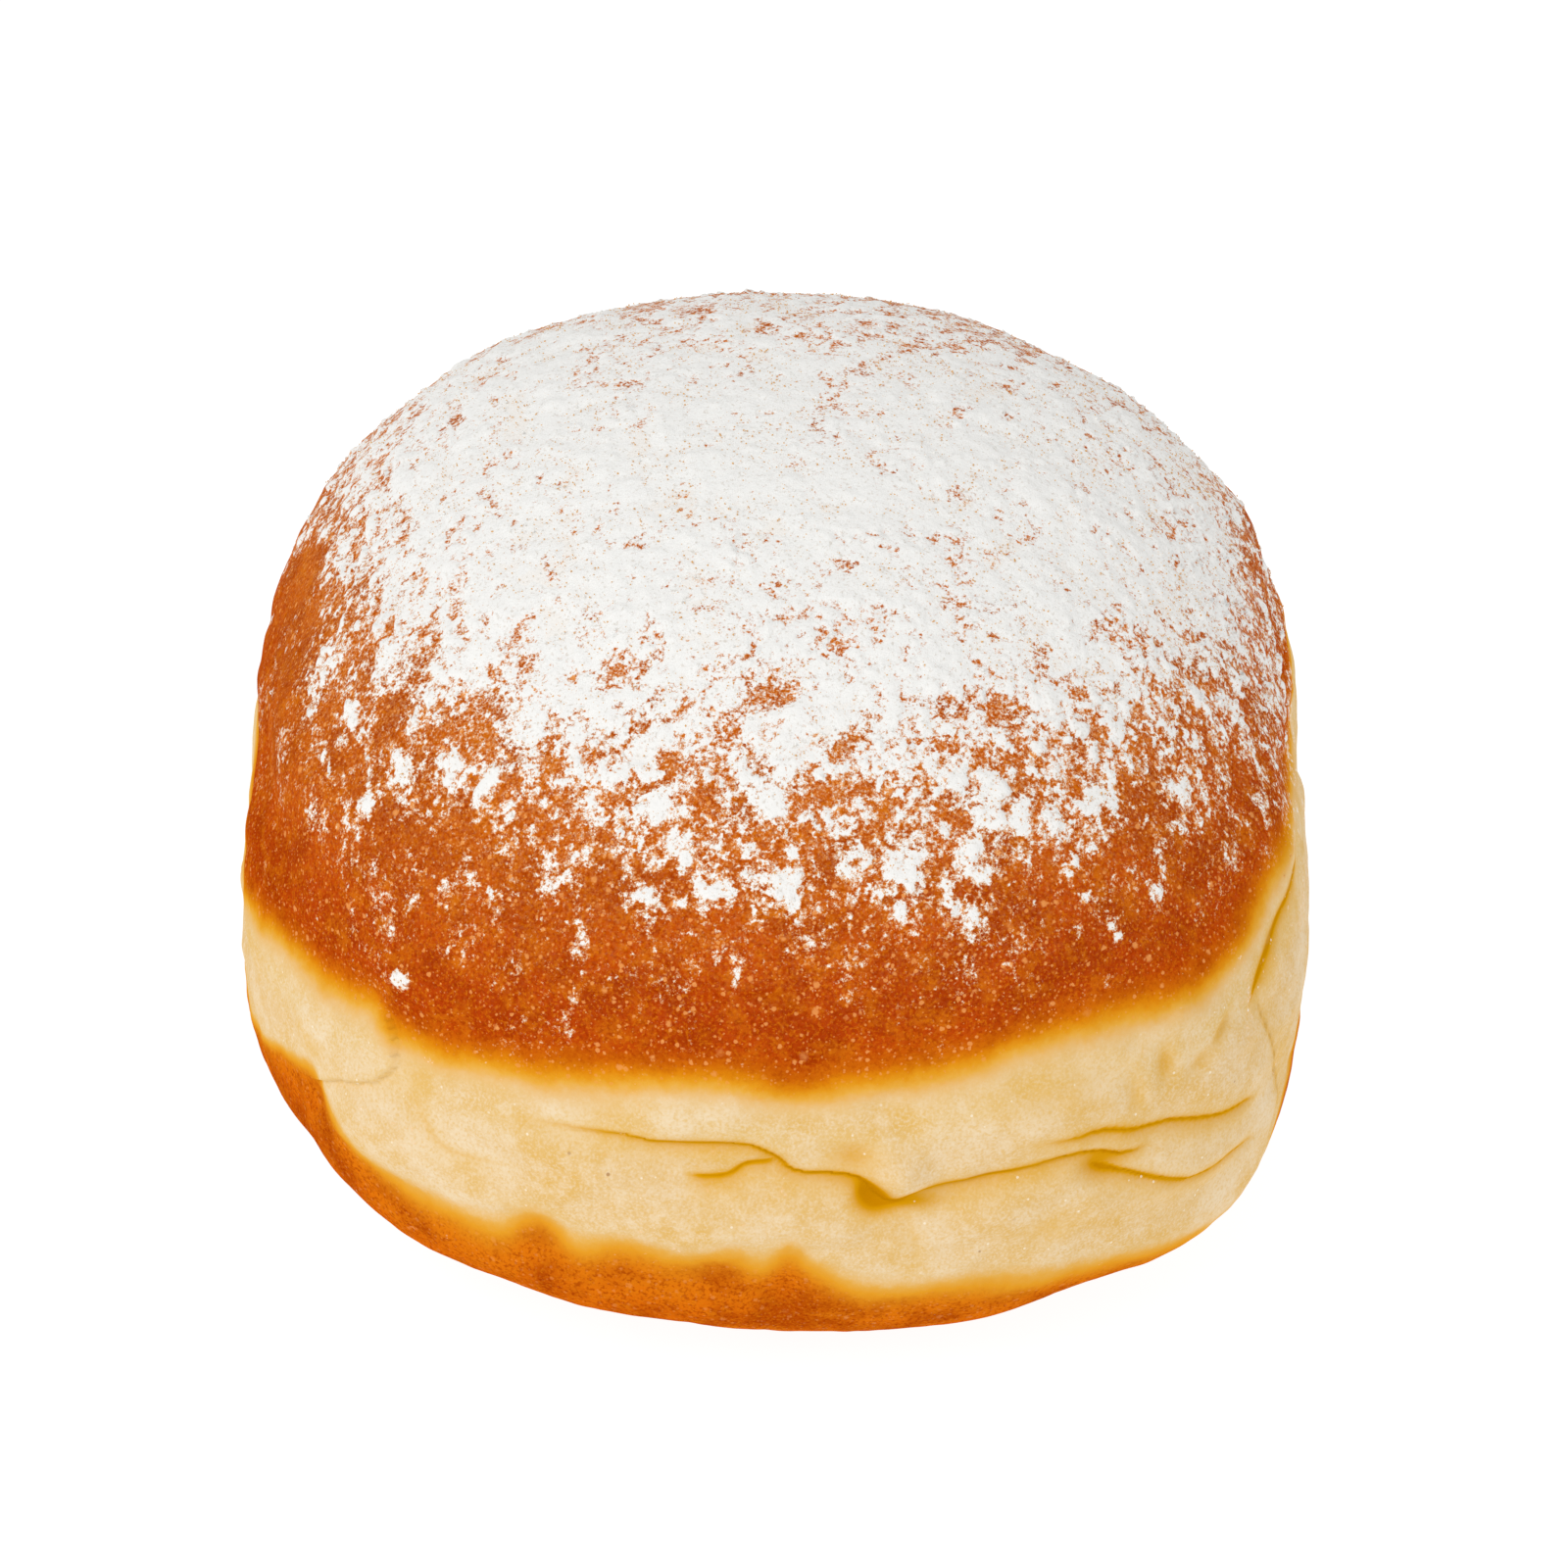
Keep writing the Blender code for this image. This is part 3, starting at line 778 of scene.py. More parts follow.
@dataclass
class SugarField:
    """Where the icing sugar lies and how thick it is.

    The amount is 0 where half of the crust shows, over 2 where none shows and under -2
    where the crust is bare. It falls with the arc distance from the top, wavers by layered
    fields, and rises on heaps of three sizes and on the clumps. Shapes are drawn out down
    the slope from start_stretch mm on, and widened along the rim round the azimuth
    wide_at. The back, round back_at, holds less by back_loss.
    """

    dough: Dough
    start_stretch: float = 20.0
    stretch: float = 1.25
    side_stretch: float = 0.42
    wide_at: float = -165.0
    widening: tuple[float, float] = (0.2, 0.06)
    crown: float = 2.3
    crown_fade: float = 8.5
    lowered: float = 0.3
    back_at: float = 80.0
    back_loss: float = 1.3
    hole_depth: float = 1.9
    heap_amount: float = 3.9
    heaps: tuple[Heaps, ...] = (
        Heaps(3.4, 0.8, 1.8, 0.85, 100), Heaps(2.1, 0.5, 1.1, 1.0, 110),
        Heaps(1.25, 0.3, 0.65, 1.0, 120))
    warps: tuple[Noise, Noise] = (Noise(61, 1.3, 2, 0.6), Noise(62, 1.3, 2, 0.6))
    holes: Noise = Noise(83, 2.2, 4, 0.9)
    grain: Noise = Noise(31, 1.8, 3, 0.85, 0.5)
    drift: Noise = Noise(47, 8.0, 2, 0.6, 0.35)
    rough: Noise = Noise(53, 0.6, 2, 0.8, 0.2)
    lumpy: Noise = Noise(59, 1.1, 2, 0.8, 0.4)

    def drawn_out(self, azimuth: Array) -> Array:
        """How many times longer shapes are down the slope, least on the left and right."""
        return self.stretch - self.side_stretch * np.cos(np.radians(azimuth)) ** 2

    def inside(self, azimuth: Array, arc: Array) -> Array:
        """Distance in mm up the slope from the sugar's edge line."""
        return line_level(azimuth, SUGAR_EDGE) - arc

    def turned(self, turn: Array, arc: Array) -> Array:
        """How far the map turns points, so that shapes on the left are wider along the rim.

        It is a part of the sine of the angle from wide_at plus a part of twice its sine.

        Args:
            turn: Azimuths in radians.
            arc: Arc distances from the top in mm.

        Returns:
            Angles in radians.
        """
        off = turn - math.radians(self.wide_at)
        once, twice = self.widening
        return rise(arc, 8.0, 26.0) * (once * np.sin(off) + twice * np.sin(2.0 * off))

    def heap_heights(self, flat: Array, kind: Heaps) -> Array:
        """Heights of the heaps of one kind.

        Each cell draws a centre, a radius, a strength and whether it holds a heap, with a
        chance that falls down the slope. A heap falls from its middle as the distance to
        the power 1.4.

        Args:
            flat: Map places in mm.
            kind: The kind of heaps.

        Returns:
            Heights from 0 to 1.
        """
        home = np.floor(flat / kind.cell).astype(np.int64)
        best = np.zeros(len(flat))
        for step in range(9):
            corner = home + np.array([step % 3 - 1, step // 3 - 1])
            column = np.pad(corner, ((0, 0), (0, 1)))
            draws = [0.5 + 0.5 * Noise(kind.seed + k).corners(column) for k in range(5)]
            centre = (corner + 0.1 + 0.8 * np.stack(draws[:2], axis=1)) * kind.cell
            distance = np.hypot(*centre.T)
            turn = np.arctan2(centre[:, 1], centre[:, 0])
            turn = turn + self.turned(turn, distance)
            azimuth = (np.degrees(turn) + 180.0) % 360.0 - 180.0
            far = (distance - self.start_stretch) * self.drawn_out(azimuth)
            arc = np.where(distance < self.start_stretch, distance, self.start_stretch + far)
            chance = kind.chance * rise(self.inside(azimuth, arc), -16.0, 2.0) ** 1.3
            radius = kind.least + (kind.most - kind.least) * draws[2] ** 2
            heap = 1.0 - (((flat - centre) ** 2).sum(axis=1) / radius ** 2) ** 0.7
            heap = heap * (0.35 + 0.65 * draws[4])
            best = np.maximum(best, np.where(draws[3] < chance, heap, 0.0))
        return best

    def amount(self, spots: Array, fine: bool = True) -> tuple[Array, Array]:
        """How much sugar spots hold, and how thick it lies.

        The fields and heaps are drawn on a flat map whose lower part is pulled together
        down the slope and turned, so that what is round there is drawn out on the dough.

        Args:
            spots: Spots on the dough.
            fine: Whether the smallest heaps and layers are drawn.

        Returns:
            Amounts, and thicknesses in mm.
        """
        azimuth, radius, level = spots
        dome = np.interp(-level, -self.dough.arc_level, self.dough.arc)
        arc = np.where(level > 0.0, dome, self.dough.arc[-1] - level)
        far = self.start_stretch + (arc - self.start_stretch) / self.drawn_out(azimuth)
        distance = np.where(arc < self.start_stretch, arc, far)
        turn = np.radians(azimuth)
        turn = turn - self.turned(turn, arc)
        flat = np.stack([distance * np.cos(turn), distance * np.sin(turn)], axis=1)
        place = np.pad(flat, ((0, 0), (0, 1)))
        warp = np.stack([noise.at(place) for noise in self.warps], axis=1)
        inside = self.inside(azimuth, arc)
        fade, tail = line_level(azimuth, SUGAR_FADE), line_level(azimuth, SUGAR_TAIL)
        thin = tail * np.tanh(inside / (tail * fade)) - 1.2 * rise(-inside, 14.0, 26.0)
        crown = self.crown * np.tanh(inside / self.crown_fade)
        base = np.where(inside > 0.0, crown, thin) - self.lowered
        back = np.clip(np.cos(np.radians(azimuth - self.back_at)), 0.0, 1.0) ** 2
        base -= self.back_loss * back * rise(arc, 5.0, 16.0) * rise(inside, -6.0, 4.0)
        holes = rise(self.holes.at(place), 0.5, 2.6) * rise(inside, -2.0, 6.0)
        grain = self.grain if fine else replace(self.grain, layers=2)
        base += grain.at(place) + self.drift.at(place) - self.hole_depth * holes
        rough = np.clip(0.9 + self.rough.at(place), 0.4, 1.4)
        lumpy = np.clip(0.8 + self.lumpy.at(place), 0.1, 1.3)
        heaps, thick = np.zeros((2, len(flat)))
        for kind in self.heaps if fine else self.heaps[:2]:
            heap = np.clip(self.heap_heights(flat + 0.2 * warp, kind), 0.0, 1.0)
            heap *= 1.0 - 0.8 * holes
            heaps = np.maximum(heaps, self.heap_amount * heap * rough)
            thick = np.maximum(thick, 0.2 * math.sqrt(kind.most) * heap)
        for clump in CLUMPS:
            wide = np.radians(turn_near(azimuth, clump.azimuth) - clump.azimuth) * radius
            wide = (wide + 0.16 * warp[:, 0]) * 2.0 / clump.width
            long = (arc - clump.arc + 0.2 * warp[:, 1]) * 2.0 / clump.length
            heap = np.clip(1.15 - 0.85 * np.hypot(wide, long) ** 1.3, 0.0, 1.0)
            if clump.amount < 0.0:
                base += clump.amount * heap
                heaps *= 1.0 - heap
            else:
                heaps = np.maximum(heaps, clump.amount * heap * lumpy)
                thick = np.maximum(thick, 0.06 * clump.width * heap)
        amount = base + heaps
        return amount, rise(amount, -0.6, 2.0) * (0.06 + thick) * (1.0 - 0.4 * back)


class Half(Enum):
    """The two halves of the sugar's coat."""

    FRONT = "front"
    BACK = "back"


@dataclass
class SugarCoat:
    """Half of the dusted skin of the dome, a fine sheet that dips into the dough at its rim.

    pitch is the grid's step and reach the arc distance of the rim. The sheet stands off by
    veil, dips by sunk over the last rim mm, and swells by fluff where sugar lies thick.
    haze and thin_haze are shares of the film of finest dust inside and outside the edge.
    """

    sugar: SugarField
    half: Half
    pitch: float = 0.23
    reach: float = 55.0
    rim: float = 1.5
    veil: float = 0.03
    sunk: float = 0.1
    haze: float = 0.34
    thin_haze: float = 0.07
    fluff: Noise = Noise(73, 2.4, 2, 0.6, 0.07)
    grain: Noise = Noise(71, 0.8, 2, 0.7, 0.15)

    def build(self) -> bpy.types.Object:
        """Lay a square grid on the dome's map and lift it by the sugar's thickness.

        Both halves have a row through the top, so that they meet in it.

        Returns:
            The coat's object.
        """
        side = np.arange(-self.reach, self.reach, self.pitch)
        rows = np.arange(0.0, self.reach, self.pitch)
        if self.half is Half.FRONT:
            rows = -rows[::-1]
        across, along = (grid.ravel() for grid in np.meshgrid(side, rows))
        arc = np.hypot(across, along)
        quads = grid_quads(len(rows), len(side))
        quads = quads[arc[quads].max(axis=1) < self.reach]
        used, faces = np.unique(quads, return_inverse=True)
        arc = arc[used]
        spots = self.sugar.dough.dome_spots(across[used], along[used])
        amount, thick = self.sugar.amount(spots)
        points, normals, values = self.sugar.dough.skin(spots)
        thick = thick * (1.0 + self.grain.at(points)) + self.veil
        thick += self.fluff.at(points) * rise(amount, 0.0, 2.5)
        thick -= (self.veil + self.sunk) * rise(arc, self.reach - self.rim, self.reach)
        inside = self.sugar.inside(spots[0], arc)
        values["sugar"] = amount
        values["haze"] = (self.haze * rise(inside, -11.0, 12.0)
                          + self.thin_haze * rise(inside, -24.0, -6.0))
        placed = self.sugar.dough.to_model(points + normals * thick[:, None])
        return mesh_object("icing_sugar_" + self.half.value, placed, [faces.reshape(-1, 4)],
                           values)


class Grain(Enum):
    """The two sizes of loose icing sugar."""

    LUMP = "lump"
    DUST = "dust"


@dataclass
class SugarGrains:
    """Loose sugar on the dome: small stones of one kind, scattered as the sugar lies.

    size is their least and greatest width in mm. They lie where the amount of sugar is
    over amount_from, most of them over amount_to.
    """

    sugar: SugarField
    kind: Grain
    name: str
    count: int
    size: tuple[float, float]
    amount_from: float
    amount_to: float
    seed: int
    reach: float = 56.0

    def stone(self) -> tuple[Array, Array]:
        """A closed stone: an octahedron, cut once finer for lumps and pushed to a ball.

        Returns:
            Its points of radius 1 and its triangles.
        """
        points = np.eye(3).repeat(2, axis=0) * np.tile((1.0, -1.0), 3)[:, None]
        faces = np.array([(0, 2, 4), (2, 1, 4), (1, 3, 4), (3, 0, 4), (2, 0, 5), (1, 2, 5),
                          (3, 1, 5), (0, 3, 5)])
        if self.kind is Grain.DUST:
            return points, faces
        pairs = np.sort(np.concatenate([faces[:, [0, 1]], faces[:, [1, 2]],
                                        faces[:, [2, 0]]]), axis=1)
        edges, number = np.unique(pairs, axis=0, return_inverse=True)
        middles = points[edges].mean(axis=1)
        middles /= np.linalg.norm(middles, axis=1, keepdims=True)
        ab, bc, ca = len(points) + number.reshape(3, -1)
        a, b, c = faces.T
        finer = np.concatenate([np.stack(three, axis=1) for three in (
            (a, ab, ca), (b, bc, ab), (c, ca, bc), (ab, bc, ca))])
        return np.concatenate([points, middles]), finer

    def build(self) -> bpy.types.Object:
        """Scatter the stones and join them into one mesh.

        Places are drawn evenly on the dome's map and kept with a chance that rises with
        the sugar there. Each stone is stretched, turned and pressed flat by its own draw.

        Returns:
            The grains' object.
        """
        draw = np.random.default_rng(self.seed)
        tries = self.count * 12
        across, along = draw.uniform(-self.reach, self.reach, (2, tries))
        spots = self.sugar.dough.dome_spots(across, along)
        amount, thick = self.sugar.amount(spots)
        chance = rise(amount, self.amount_from, self.amount_to)
        keep = (draw.uniform(0.0, 1.0, tries) < chance) & (np.hypot(across, along) < self.reach)
        chosen = np.flatnonzero(keep)[:self.count]
        number = len(chosen)
        points, normals, _ = self.sugar.dough.skin(spots[:, chosen])
        stone, faces = self.stone()
        sizes = draw.uniform(0.0, 1.0, number) ** 2.2
        sizes = self.size[0] + (self.size[1] - self.size[0]) * sizes
        shapes = stone[None] * draw.uniform(0.6, 1.25, (number, len(stone), 1))
        turns, _ = np.linalg.qr(draw.normal(size=(number, 3, 3)))
        turns[:, 2] *= np.sign(np.linalg.det(turns))[:, None]
        shapes = np.einsum("nij,nkj->nki", turns, shapes) * sizes[:, None, None] / 2.0
        centres = points + normals * (thick[chosen] + 0.2 * sizes)[:, None]
        placed = (shapes + centres[:, None]).reshape(-1, 3)
        numbers = (faces[None] + np.arange(number)[:, None, None] * len(stone)).reshape(-1, 3)
        return mesh_object(self.name, self.sugar.dough.to_model(placed), [numbers])


# Materials


class NodeBench:
    """One material's node tree, with a single way to add a node."""

    def __init__(self, name: str, *values: str) -> None:
        """Start a material with Object coordinates and the mesh's values at hand.

        Args:
            name: The material's name.
            *values: Names of the mesh's point attributes.
        """
        self.material = bpy.data.materials.new(name)
        self.material.use_nodes = True
        self.tree = self.material.node_tree
        self.tree.nodes.clear()
        self.where = self.add("TexCoord", out="Object")
        self.values = {key: self.add("Attribute", out="Fac", attribute_name=key)
                       for key in values}

    def add(self, kind: str, inputs: dict[Any, Any] | tuple[Any, ...] = (),
            out: int | str = 0, **settings: Any) -> Socket | None:
        """Add a node.

        Args:
            kind: Blender's node type after its first words.
            inputs: Values or sockets to link, in order or by input name or number.
            out: Name or number of the output to give.
            **settings: Properties of the node.

        Returns:
            The output, or None where the node has none.
        """
        node = self.tree.nodes.new("ShaderNode" + kind)
        for key, value in settings.items():
            setattr(node, key, value)
        given = inputs if isinstance(inputs, dict) else dict(enumerate(inputs))
        for key, value in given.items():
            if isinstance(value, Socket):
                self.tree.links.new(value, node.inputs[key])
            else:
                node.inputs[key].default_value = value
        return node.outputs[out] if node.outputs else None

    def pattern(self, size: float, **more: float) -> dict[str, Any]:
        """Inputs of a noise or of cells whose features are about size mm wide."""
        return {"Vector": self.where, "Scale": 1.0 / (size * MM), **more}

    def lay(self, under: Any, over: Any, *shares: Any) -> Socket:
        """Lay one colour over another by the product of the shares.

        Args:
            under: The colour below.
            over: The colour on top.
            *shares: Numbers or sockets from 0 to 1.

        Returns:
            The mixed colour.
        """
        share = shares[0]
        for part in shares[1:]:
            share = self.add("Math", (share, part), operation="MULTIPLY")
        return self.add("Mix", {0: share, 6: under, 7: over}, out=2, data_type="RGBA")

    def finish(self, inputs: dict[str, Any]) -> bpy.types.Material:
        """End the tree in one shader with the given inputs and give the material."""
        self.add("OutputMaterial", {"Surface": self.add("BsdfPrincipled", inputs)})
        return self.material


@dataclass(frozen=True)
class Shades:
    """Colours along a scale of numbers, as places and sRGB hex values in order."""

    stops: tuple[tuple[float, str], ...]

    def along(self, bench: NodeBench, value: Any) -> Socket:
        """Colour a number by the straight mix of the stops on its two sides.

        Args:
            bench: The material's bench.
            value: The number, held at the first and last stop.

        Returns:
            The colour.
        """
        low, high = self.stops[0][0], self.stops[-1][0]
        colour = bench.add("ValToRGB", (bench.add("MapRange", (value, low, high)),))
        points = colour.node.color_ramp.elements
        while len(points) < len(self.stops):
            points.new(0.5)
        for point, (place, tint) in zip(points, self.stops):
            point.position = (place - low) / (high - low)
            point.color = linear(tint)
        return colour


@dataclass(frozen=True)
class Cloud:
    """Soft patches of another colour, about size mm wide.

    They start where their noise is at start and reach their greatest share, most, where it
    is at full. rough is the noise's roughness.
    """

    size: float
    tint: str
    most: float
    start: float = 0.44
    full: float = 0.68
    rough: float = 0.55

    def over(self, bench: NodeBench, colour: Any, *shares: Any) -> Socket:
        """Lay the patches over a colour.

        Args:
            bench: The material's bench.
            colour: The colour so far.
            *shares: Where patches may be, from 0 to 1.

        Returns:
            The clouded colour.
        """
        noise = bench.add("TexNoise", bench.pattern(self.size, Roughness=self.rough))
        part = bench.add("MapRange", (noise, self.start, self.full, 0.0, self.most))
        return bench.lay(colour, linear(self.tint), part, *shares)


@dataclass(frozen=True)
class Specks:
    """Small round specks, at most one in each random cell of about size mm.

    A cell holds a speck where its own draw is over least. reach is the specks' greatest
    radius in cells and share how much of the tint they show.
    """

    size: float
    least: float = 0.0
    reach: float = 0.0
    share: float = 1.0
    tint: str = "#F2A25A"

    def cells(self, bench: NodeBench) -> tuple[Socket, Socket]:
        """Distance from the middle of a random cell in cells, and the cell's own draw."""
        distance = bench.add("TexVoronoi", bench.pattern(self.size))
        return distance, bench.add("SeparateColor", (distance.node.outputs["Color"],))

    def blisters_and_glints(self, bench: NodeBench, colour: Any, uneven: Any, share: Any) -> Socket:
        """Lay the specks as blisters of all radii up to reach, with uneven rims.

        Args:
            bench: The material's bench.
            colour: The colour so far.
            uneven: A fine noise round 0.
            share: Where blisters and their painted glints may be, from 0 to 1.

        Returns:
            The colour with blisters and painted glints.
        """
        # Pale blisters, whose light colour also stands in as painted glints.
        distance, draw = self.cells(bench)
        radius = bench.add("MapRange", (draw, self.least, 1.0, 0.0, self.reach))
        gap = bench.add("Math", (radius, distance), operation="SUBTRACT")
        gap = bench.add("Math", (uneven, self.reach, gap), operation="MULTIPLY_ADD")
        spot = bench.add("MapRange", (gap, 0.0, 0.12))
        return bench.lay(colour, linear(self.tint), spot, share, self.share)

    def dots(self, bench: NodeBench, colour: Any, share: Any) -> Socket:
        """Lay the specks as dots of one radius.

        Args:
            bench: The material's bench.
            colour: The colour so far.
            share: Where dots may be, from 0 to 1.

        Returns:
            The colour with dots.
        """
        distance, draw = self.cells(bench)
        dot = bench.add("MapRange", (distance, self.reach, self.reach * 1.5, 1.0, 0.0))
        rare = bench.add("MapRange", (draw, self.least, self.least + 0.02))
        return bench.lay(colour, linear(self.tint), dot, rare, share, self.share)


@dataclass(frozen=True)
class FriedDough:
    """Yeast dough fried in fat, dusted with icing sugar.

    The crust is a thin matt skin of caramelised dough with small pale blisters, whose light
    colour also stands in as painted glints. The belt stayed above the fat: soft and pale
    with fine pores, and ochre painted shade in its folds and hollows. The sugar is a matt
    white dust whose grains are 0.05 mm or less, drawn at about 0.2 mm so that they show,
    with a film of finer dust between them, and grey painted shade in its pits.
    """

    name: str = "fried_dough_dusted"
    crust: Shades = Shades((
        (-6.0, "#E6C48E"), (-2.6, "#E6C486"), (-1.3, "#E8C284"), (-0.6, "#E9BA72"),
        (0.0, "#E8AC42"), (0.45, "#E49A20"), (1.0, "#DF860E"), (1.65, "#CF680A"),
        (2.8, "#BE4808"), (4.4, "#B53E08"), (9.0, "#C04B08"), (14.0, "#C4580C"),
        (24.0, "#C65E10")))
    base: Shades = Shades((
        (-6.0, "#E6C48E"), (-1.7, "#E6C286"), (-0.7, "#E7B050"), (0.3, "#E69E28"),
        (1.4, "#E08718"), (2.6, "#DE760E"), (6.0, "#DC6A0A"), (18.0, "#CA5608")))
    dust: Shades = Shades((
        (0.0, "#F8AE5C"), (0.35, "#FAC688"), (0.7, "#FAE6CA"), (1.0, "#FAFAF7")))
    # Ochre painted shade laid in the belt's folds and hollows.
    shade_ochres: Shades = Shades((
        (0.0, "#E8C070"), (0.3, "#E5B244"), (0.6, "#DFA21C"), (0.85, "#D89806"),
        (1.0, "#CC8A02")))
    crust_clouds: tuple[Cloud, ...] = (
        Cloud(4.2, "#982E02", 0.6, 0.56, 0.36, 0.62),
        Cloud(1.7, "#DC7A10", 0.5, 0.5, 0.7, 0.62),
        Cloud(0.32, "#982E02", 0.6, 0.52, 0.36, 0.62),
        Cloud(0.24, "#DC7A10", 0.55, 0.5, 0.68, 0.62))
    belt_clouds: tuple[Cloud, ...] = (
        Cloud(7.5, "#F3E2C6", 0.6), Cloud(4.6, "#E2B358", 0.7), Cloud(1.3, "#F3E2C6", 0.4),
        Cloud(0.28, "#E2B358", 0.5), Cloud(0.2, "#F3E2C6", 0.45))
    # Grey painted shade for the shadows in the sugar's pits.
    sugar_pit_shade: Cloud = Cloud(0.3, "#D6CEC2", 0.6, 0.42, 0.3, 0.6)
    # Pale blisters of the crust, partly painted glints.
    blisters_and_glints: tuple[Specks, ...] = (
        Specks(0.26, 0.6, 0.46, 0.5), Specks(0.5, 0.5, 0.42, 0.7), Specks(1.1, 0.45, 0.3, 0.7),
        Specks(2.8, 0.4, 0.18, 0.45))
    pores: tuple[Specks, ...] = (
        Specks(2.6, 0.88, 0.045, 0.6, "#9A5A20"), Specks(0.9, 0.8, 0.09, 0.6, "#FFF6E2"))
    ragged_waves: tuple[tuple[float, float, float, float], ...] = (
        (5.0, 2.0, 0.5, 1.6), (0.6, 3.0, 0.6, 0.7))
    grains: tuple[Specks, Specks] = (Specks(0.19), Specks(0.42))
    softness: float = 0.9
    haze_whiteness: float = 0.55
    crust_roughness: float = 0.5
    sugar_roughness: float = 0.9
    skin_depth: float = 0.04
    powder_depth: float = 0.09

    def build(self) -> bpy.types.Material:
        """Make the material from the mesh's values and from noise in Object coordinates.

        Returns:
            The material.
        """
        bench = NodeBench(self.name, "browning", "underside", "painted_shade", "sugar", "haze")
        dough = self.dough_colour(bench)
        cover = self.cover(bench)
        whiter = bench.add("Math", (bench.values["haze"], self.haze_whiteness, cover),
                           operation="MULTIPLY_ADD")
        # Grey painted shade of the pits laid over the sugar's white.
        white = self.sugar_pit_shade.over(bench, self.dust.along(bench, whiter))
        roughness = bench.add("MapRange", (cover, 0.0, 1.0, self.crust_roughness,
                                           self.sugar_roughness))
        skin = bench.add("TexNoise", bench.pattern(0.7, Detail=3.0, Roughness=0.6))
        skin = bench.add("Math", (skin, self.skin_depth * MM), operation="MULTIPLY")
        powder = bench.add("TexNoise", bench.pattern(0.22, Roughness=0.7))
        deep = bench.add("MapRange", (bench.values["sugar"], -1.5, 1.5, 0.0,
                                      self.powder_depth * MM))
        height = bench.add("Math", (powder, deep, skin), operation="MULTIPLY_ADD")
        bump = bench.add("Bump", {"Strength": 1.0, "Distance": 1.0, "Height": height})
        return bench.finish({"Base Color": bench.lay(dough, white, cover),
                             "Roughness": roughness, "IOR": 1.45,
                             "Specular IOR Level": 0.0, "Normal": bump})

    def dough_colour(self, bench: NodeBench) -> Socket:
        """Colour the bare dough.

        The browning, made ragged by two noises of a size, detail, roughness and depth each,
        runs through the crust's or the base's shades. Clouds and pale blisters, partly painted
        glints, lie on the crust. Clouds, ochre painted shade of the folds and hollows, and
        pores lie on the belt.

        Args:
            bench: The material's bench.

        Returns:
            The dough's colour.
        """
        ragged, underside, painted_shade = (
            bench.values[key] for key in ("browning", "underside", "painted_shade"))
        for size, detail, rough, depth in self.ragged_waves:
            wave = bench.add("TexNoise", bench.pattern(size, Detail=detail, Roughness=rough))
            wave = bench.add("Math", (wave, 0.5), operation="SUBTRACT")
            ragged = bench.add("Math", (wave, depth, ragged), operation="MULTIPLY_ADD")
        colour = bench.lay(self.crust.along(bench, ragged), self.base.along(bench, ragged),
                           underside)
        in_crust = bench.add("MapRange", (ragged, 0.5, 3.0))
        for cloud in self.crust_clouds:
            colour = cloud.over(bench, colour, in_crust)
        # Where the blisters and their painted glints lie.
        glint_blister_share = bench.add("MapRange", (ragged, -0.6, 1.6))
        fewer = bench.add("MapRange", (underside, 0.0, 1.0, 1.0, 0.4))
        glint_blister_share = bench.add("Math", (glint_blister_share, fewer), operation="MULTIPLY")
        uneven = bench.add("TexNoise", bench.pattern(0.22, Detail=3.0))
        uneven = bench.add("MapRange", (uneven, 0.0, 1.0, -0.5, 0.5))
        for specks in self.blisters_and_glints:
            colour = specks.blisters_and_glints(bench, colour, uneven, glint_blister_share)
        pale = bench.add("MapRange", (ragged, -0.4, -2.2))
        for cloud in self.belt_clouds:
            colour = cloud.over(bench, colour, pale)
        # Painted shade: ochre in the folds and hollows of the belt.
        shade_share = bench.add("MapRange", (painted_shade, 0.0, 0.75))
        colour = bench.lay(colour, self.shade_ochres.along(bench, painted_shade), shade_share, pale)
        for specks in self.pores:
            colour = specks.dots(bench, colour, pale)
        return colour

    def cover(self, bench: NodeBench) -> Socket:
        """Work out which grains of dust are there.

        Each small cell of space holds a draw, and a cell is white where the share of the
        crust that the sugar covers is over it. A fine noise makes the share grainy, and
        the film lies between the grains.

        Args:
            bench: The material's bench.

        Returns:
            The share of white, about 0 to 1.
        """
        fine, coarse = (specks.cells(bench)[1] for specks in self.grains)
        draw = bench.add("Math", (coarse, 0.35), operation="MULTIPLY")
        draw = bench.add("Math", (fine, 0.65, draw), operation="MULTIPLY_ADD")
        grain = bench.add("TexNoise", bench.pattern(0.5, Detail=4.0, Roughness=0.75))
        grain = bench.add("MapRange", (grain, 0.2, 0.8, -2.8, 2.8))
        amount = bench.add("Math", (bench.values["sugar"], grain), operation="ADD")
        share = bench.add("MapRange", (amount, -2.6, 2.6, 0.0, 1.0 + self.softness),
                          interpolation_type="SMOOTHSTEP")
        share = bench.add("Math", (share, draw), operation="SUBTRACT")
        grains = bench.add("MapRange", (share, 0.0, self.softness, 0.0, 0.97))
        film = bench.add("TexNoise", bench.pattern(0.25, Roughness=0.7))
        film = bench.add("MapRange", (film, 0.42, 0.72, 0.0, 3.0))
        film = bench.add("Math", (bench.values["haze"], film), operation="MULTIPLY")
        bare = bench.add("Math", (1.0, grains), operation="SUBTRACT")
        return bench.add("Math", (film, bare, grains), operation="MULTIPLY_ADD")


